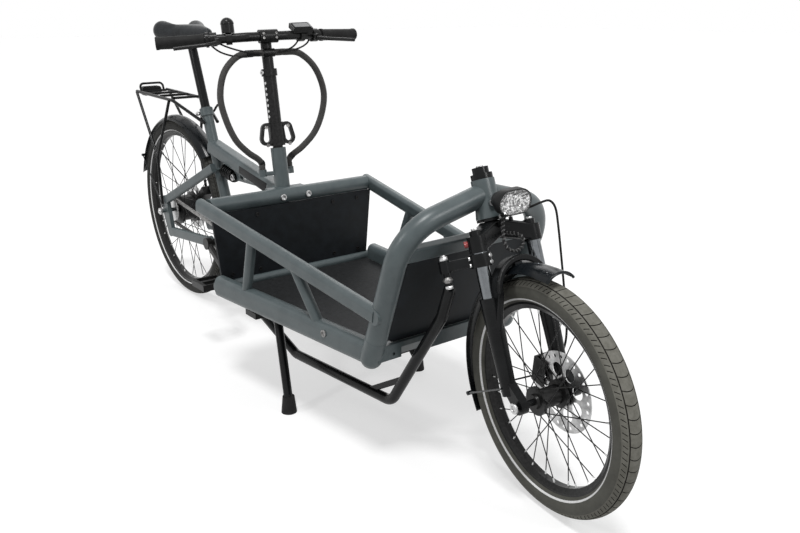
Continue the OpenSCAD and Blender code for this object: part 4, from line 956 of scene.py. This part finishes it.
cover = start("headlamp_cover", bpy.ops.mesh.primitive_circle_add, vertices=48, radius=(LAMP_R - 2.5) * MM,
              fill_type="NGON", location=(0, 0, (LAMP_DEEP - 1.8) * MM))
placed(cover, Matrix.Identity(4))
edit(cover)
bpy.ops.mesh.select_all(action="SELECT")
for rise in (0.9, 0.6, 0.4):
    bpy.ops.mesh.inset(thickness=5 * MM)
    bpy.ops.transform.translate(value=(0, 0, rise * MM))
done()
made_oval(cover, LAMP_SPREAD)
modified(cover, "SOLIDIFY", thickness=1.2 * MM, offset=1)
settle(cover, "fork", lamp_glass, LAMP, 60)

# %% Lamp arm
arm = tube_along("headlamp_arm", [FORK @ (Vector(p) * MM) for p in smooth_run(
    [(18, 0, -20), (34, 0, -16), (52, 0, 0), (64, 0, 15)], 4)], 12)
rounded(arm, 0.8)
settle(arm, "fork", black_plastic)
fasteners("lamp_arm_screws", "fork", screw(9, 4), on_both_sides(FORK, 50, 5.5, -2))

# %% [markdown]
# ### Lamp lead
# A thin lead drops from the lamp, curls once above the mudguard and goes up into the crown. It is wrapped in a
# spiral, a second, thinner tube that winds round the same path, whose grey is painted sheen on a dark wrap.

# %% Lamp lead
LEAD_D, WRAP_D, WRAP_PITCH = 5, 3.2, 9
LEAD_ROUTE = [
    (64, -12, 6), (66, -15, -6), (68, -19, -20), (70, -23, -34), (72, -27, -48), (73, -27, -62), (74, -20, -74),
    (74, -6, -79), (74, 9, -75), (73, 19, -64), (70, 19, -52), (62, 13, -44), (50, 8, -41), (38, 6, -38),
    (28, 5, -34),
]
lead_run = [FORK @ (Vector(p) * MM) for p in smooth_run(LEAD_ROUTE, 5)]
lead = tube_along("lamp_lead", lead_run, LEAD_D)


def winding(points, radius, pitch):
    """A helix round a run of points in metres."""
    coil, reach = [], 0.0
    for a, b in zip(points, points[1:]):
        way = (b - a).normalized()
        out = way.cross(Vector((0.3, 1, 0.2))).normalized()
        for k in range(4):
            turn = 2 * pi * (reach + (b - a).length * k / 4) / (pitch * MM)
            coil.append(a.lerp(b, k / 4) + radius * MM * (out * cos(turn) + way.cross(out) * sin(turn)))
        reach += (b - a).length
    return coil


wrap = tube_along("lamp_lead_wrap", winding(lead_run[2:-6], LEAD_D / 2 + 0.4, WRAP_PITCH), WRAP_D, 2)
settle(lead, "fork", soft_rubber)
# The spiral is painted paler grey than the dark wrap is: painted sheen that stands in for its highlights.
wrap_plastic_painted_sheen = finish_of("spiral_wrap_painted_sheen", 0.25, Specular_IOR_Level=0.4)
mottled(wrap_plastic_painted_sheen, grey(0.04), grey(0.09), 0.004)
uneven(wrap_plastic_painted_sheen, 0.2, 0.3)
settle(wrap, "fork", wrap_plastic_painted_sheen)
print("lamp lead is", round(run_length(lead_run), 3), "m long")

# %% [markdown]
# ### Brake hose
# The front brake's hose comes out of the crown, arches up beside the lamp and drops along the left leg to the
# caliper. It follows CAD's own points, as the cable sleeves do, but with finer steps, and it steers with the
# fork.

# %% Brake hose
HOSE_D = 5
HOSE_ROUTE = [
    (30, 30, -6.8), (34, 31, 4), (52, 35, 12), (80, 44, 4), (102, 60, 8), (113, 76, 8), (112, 88, -10),
    (103, 92, -50), (91, 93, -110), (78, 94, -170), (64, 96, -230), (42, 97, -290), (18, 92, -326),
    (4, 70.3, -346),
]
hose_run = [FORK @ (Vector(p) * MM) for p in smooth_run(HOSE_ROUTE, 6)]
hose = tube_along("front_brake_hose", hose_run, HOSE_D)
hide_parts("brake_hose")
settle(hose, "fork", soft_rubber)
print("brake hose is", round(run_length(hose_run), 3), "m long")

# %% [markdown]
# ## Handlebar
# The rider's hands get ergonomic grips: a ribbed sleeve that widens to a wing under the palm, between two clamp
# rings. A bar point is counted from the middle, and the bar sweeps back towards its ends.

# %% Bar places
BAR_RISE, BAR_LEAD, BAR_HALF, BAR_SWEEP, BAR_STRAIGHT, GRIP_LEN = 756, 24, 300, 67, 60, 125
GRIP_RIBS, GRIP_R, GRIP_WING = 36, 16.6, 9
GRIP_FROM = BAR_HALF - GRIP_LEN


def bar_point(y):
    """A point of the bar's axis in its own frame, in millimetres."""
    back = max(abs(y) - BAR_STRAIGHT, 0) / (BAR_HALF - BAR_STRAIGHT) * BAR_SWEEP
    return Vector((BAR_LEAD - back, y, BAR_RISE))


# %% Grips
for side, name in ((-1, "right_grip"), (1, "left_grip")):
    inner, outer = bar_point(side * (GRIP_FROM + 0.5)), bar_point(side * BAR_HALF) + Vector((-1, side * 4, 0))
    length = (outer - inner).length
    grip = start(name, bpy.ops.mesh.primitive_cylinder_add, vertices=40, radius=17 * MM, depth=length * MM,
                 location=(0, 0, length / 2 * MM))
    placed(grip, Matrix.Identity(4))
    for k in range(1, GRIP_RIBS):
        edit(grip)
        bpy.ops.mesh.select_all(action="SELECT")
        bpy.ops.mesh.bisect(plane_co=(0, 0, length * k / GRIP_RIBS * MM), plane_no=(0, 0, 1))
        done()
    across_grip = (outer - inner).normalized()
    back = Vector((-1, 0, -0.25)) - across_grip * across_grip.dot(Vector((-1, 0, -0.25)))
    turn = Matrix((back.normalized(), across_grip.cross(back).normalized(), across_grip)).transposed().to_4x4()
    for vertex in grip.data.vertices:
        along = vertex.co.z / (length * MM)
        around = atan2(vertex.co.y, vertex.co.x)
        rib = 0.7 * sin(along * pi * GRIP_RIBS) ** 2 if 0.1 < along < 0.9 else 0.0
        wing = GRIP_WING * max(cos(around), 0) ** 3 * sin(pi * min(max(along - 0.25, 0) / 0.72, 1)) ** 0.7
        ring = 1.2 if along < 0.07 or along > 0.94 else 0.0
        radius = GRIP_R + rib + wing + ring
        if hypot(vertex.co.x, vertex.co.y) > 5 * MM:
            vertex.co.x, vertex.co.y = radius * MM * cos(around), radius * MM * sin(around)
    rounded(grip, 1.0, 2, 60)
    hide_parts("grips")
    settle(grip, "handlebar", soft_rubber, BAR @ moved(*inner) @ turn, 50)

# %% Bell and display
bell = start("bell_dome", bpy.ops.mesh.primitive_uv_sphere_add, segments=32, ring_count=16, radius=19 * MM)
edit(bell)
bpy.ops.mesh.select_all(action="SELECT")
bpy.ops.mesh.bisect(plane_co=(0, 0, 0), plane_no=(0, 0, 1), clear_inner=True, use_fill=True)
done()
rounded(bell, 0.8)
settle(bell, "handlebar", black_anodised, BAR @ moved(*(bar_point(-GRIP_FROM + 64) + Vector((0, 0, 38)))))

screen_glass = finish_of("dark_display_glass", 0.08, Specular_IOR_Level=0.4)
mottled(screen_glass, grey(0.006, 1.3), grey(0.012, 1.3), 0.01)
uneven(screen_glass, 0.05, 0.12)
display = block("display_screen", 34, 52, 2.4)
rounded(display, 0.8, 2)
sunk(display, 2.0, 0.6)
display_place = BAR @ moved(*(bar_point(GRIP_FROM - 70) + Vector((10, 0, 20)))) @ turned(30, "Y") @ moved(0, 0, 8)
settle(display, "handlebar", screen_glass, display_place)

# %% Bolts of the stem
stem_places = [facing(BAR, (BAR_LEAD + 18.5, y, BAR_RISE + z), AHEAD) for y in (-19, 19) for z in (-6, 6)]
fasteners("bar_clamp_screws", "handlebar", screw(7, 3), stem_places, dull_steel)
fasteners("post_collar_screw", "handlebar", screw(13, 6), [facing(BAR, (8, -22, 656), (0.35, -1, 0))])
fold_places = [facing(BAR, (12, side * 34, z), AHEAD) for side in (-1, 1) for z in (448, 500)]
fasteners("fold_clamp_pins", "handlebar", screw(10, 3), fold_places, dull_steel)
POST_R, POST_TURN, POST_FROM, POST_TO, POST_STEP = 19.0, -1.2, 530, 640, 16
post_way = (cos(POST_TURN), sin(POST_TURN), 0)
post_holes = [facing(BAR, (POST_R * post_way[0], POST_R * post_way[1], z), post_way)
              for z in range(POST_FROM, POST_TO, POST_STEP)]
fasteners("post_hole_rings", "handlebar", screw(8, 0.8), post_holes)

# %% [markdown]
# ### Control cables
# Four thin cables run from the levers, the shifter and the display in flat bows to the tube under the bar, where
# the sleeves take them in. They turn with the bar.

# %% Control cables
CABLE_D = 5
BRAKE_ROUTE = [(-6, 138, 746), (14, 124, 734), (30, 100, 722), (34, 72, 714), (28, 44, 711), (20, 20, 709)]
CABLES = {
    "right_brake_cable": [(x, -y, z) for x, y, z in BRAKE_ROUTE],
    "shifter_cable": [(-14, -158, 742), (0, -140, 722), (16, -112, 708), (24, -78, 702), (24, -46, 704),
                      (16, -20, 706)],
    "left_brake_cable": BRAKE_ROUTE,
    "display_cable": [(2, 104, 766), (20, 96, 748), (30, 80, 730), (32, 60, 718), (28, 40, 713), (16, 20, 712)],
}
for name, route in CABLES.items():
    run = [BAR @ (Vector(p) * MM) for p in smooth_run(route, 5)]
    cable = tube_along(name, run, CABLE_D, 3)
    settle(cable, "handlebar", soft_rubber)
    print(name, "is", round(run_length(run), 3), "m long")

# %% [markdown]
# ## Trim of the frame
# A dark panel is let into the top tube's sides, a quick-release lever closes the seat clamp, covers sit on the
# motor, the battery has a seam and a lock, and the rear lamp has a red lens that looks backwards.

# %% Top tube panel and seat clamp
TUBE_REAR, TUBE_FRONT = Vector((279.5, 0, 588)), Vector((718.6, 0, 505))
tube_lean = degrees(atan2(TUBE_REAR.z - TUBE_FRONT.z, TUBE_FRONT.x - TUBE_REAR.x))
panel_place = BIKE @ moved(*TUBE_REAR.lerp(TUBE_FRONT, 0.68)) @ turned(tube_lean, "Y")
panel = block("top_tube_panel", 196, 53.6, 31)
edit(panel)
pick(panel, lambda center, normal: normal.x < -0.9)
bpy.ops.transform.translate(value=(18 * MM, 0, 0))
bpy.ops.transform.resize(value=(1, 1, 0.8), center_override=(0, 0, 0))
done()
rounded(panel, 3.2, 3)
settle(panel, "frame", black_plastic, panel_place)
SEAT_LEAN, CLAMP_Z = 20, 700
clamp_x = BB_X - (CLAMP_Z - BB_Z) * sin(radians(SEAT_LEAN)) / cos(radians(SEAT_LEAN))
CLAMP = BIKE @ moved(clamp_x, 0, CLAMP_Z) @ turned(-SEAT_LEAN, "Y")
fasteners("seat_clamp_bolt", "frame", nut(15, 9), [facing(CLAMP, (-16, -19, 0), ASIDE)])
lever = tube_along("seat_clamp_lever", [CLAMP @ (Vector(p) * MM) for p in smooth_run(
    [(-16, 18, 0), (-16, 30, 2), (-8, 34, 6), (10, 32, 10), (32, 30, 13)], 4)], 8)
rounded(lever, 1)
settle(lever, "frame", black_anodised)

# %% Motor covers
MOTOR_X, MOTOR_Z, MOTOR_HALF, MOTOR_R, MOTOR_SCREW_R = BB_X + 62, BB_Z + 8, 40, 66, 56
motor_cover = start("cover", bpy.ops.mesh.primitive_cylinder_add, vertices=64, radius=MOTOR_R * MM, depth=5 * MM,
                    location=(0, 0, 2.5 * MM))
edit(motor_cover)
pick(motor_cover, top_face)
for inset, rise in ((6, -1.5), (3, 1.5), (18, 2.0), (4, -1.2)):
    bpy.ops.mesh.inset(thickness=inset * MM)
    bpy.ops.transform.translate(value=(0, 0, rise * MM))
done()
rounded(motor_cover, 0.6)
sides = on_both_sides(BIKE, MOTOR_X, MOTOR_HALF, MOTOR_Z)
settle(copies(motor_cover, sides, "motor_covers"), "frame", black_plastic)
cover_places = [side @ moved(MOTOR_SCREW_R * cos(a), MOTOR_SCREW_R * sin(a), 4.5)
                for side in sides for a in (0.3, 1.35, 2.4, 3.45, 4.5, 5.55)]
fasteners("motor_cover_screws", "frame", screw(8, 3), cover_places, dull_steel)

# %% Battery seam and lock
battery_low, battery_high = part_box("battery")
battery_size = (Vector(battery_high) - Vector(battery_low)) / MM
battery_middle = (Vector(battery_high) + Vector(battery_low)) / 2
seam = block("battery_seam", battery_size.x - 30, battery_size.y + 4, 6)
rounded(seam, 1.5)
settle(seam, "frame", soft_rubber, Matrix.Translation(battery_middle + Vector((0, 0, 0.045))))
lock_point = (Vector(battery_low) + Vector((0.06, 0, 0.09))) / MM
fasteners("battery_lock", "frame", screw(20, 4), [facing(Matrix.Identity(4), lock_point, ASIDE)], dull_steel)

# %% Rear lens
lamp_low, lamp_high = (Vector(corner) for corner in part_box("rear_lamp"))
lens = block("rear_lens", 5, (lamp_high.y - lamp_low.y) / MM - 8, (lamp_high.z - lamp_low.z) / MM - 8)
rounded(lens, 1.6, 3)
lens_middle = (lamp_low + lamp_high) / 2
settle(lens, "frame", red_plastic, Matrix.Translation((lamp_low.x + 1 * MM, lens_middle.y, lens_middle.z)))

# %% [markdown]
# ### Mudguard bead
# The bill of the front mudguard ends in a rolled edge, which stiffens the thin plastic.

# %% Mudguard bead
GUARD_FROM, BILL_LEN, GUARD_OUT, GUARD_SPREAD = radians(70), 34, 41.5, 53
bead_run = []
for k in range(-12, 13):
    spread = radians(GUARD_SPREAD * k / 12)
    reach = FRONT_R - FRONT_TYRE_W / 2 + GUARD_OUT * cos(spread)
    point = (5 + reach * cos(GUARD_FROM) + BILL_LEN * sin(GUARD_FROM), GUARD_OUT * sin(spread),
             13 + reach * sin(GUARD_FROM) - BILL_LEN * cos(GUARD_FROM))
    bead_run.append(FRONT_WHEEL @ (Vector(point) * MM))
bead = tube_along("mudguard_bead", bead_run, 6)
rounded(bead, 0.8)
settle(bead, "fork", guard_gloss_painted_sky)
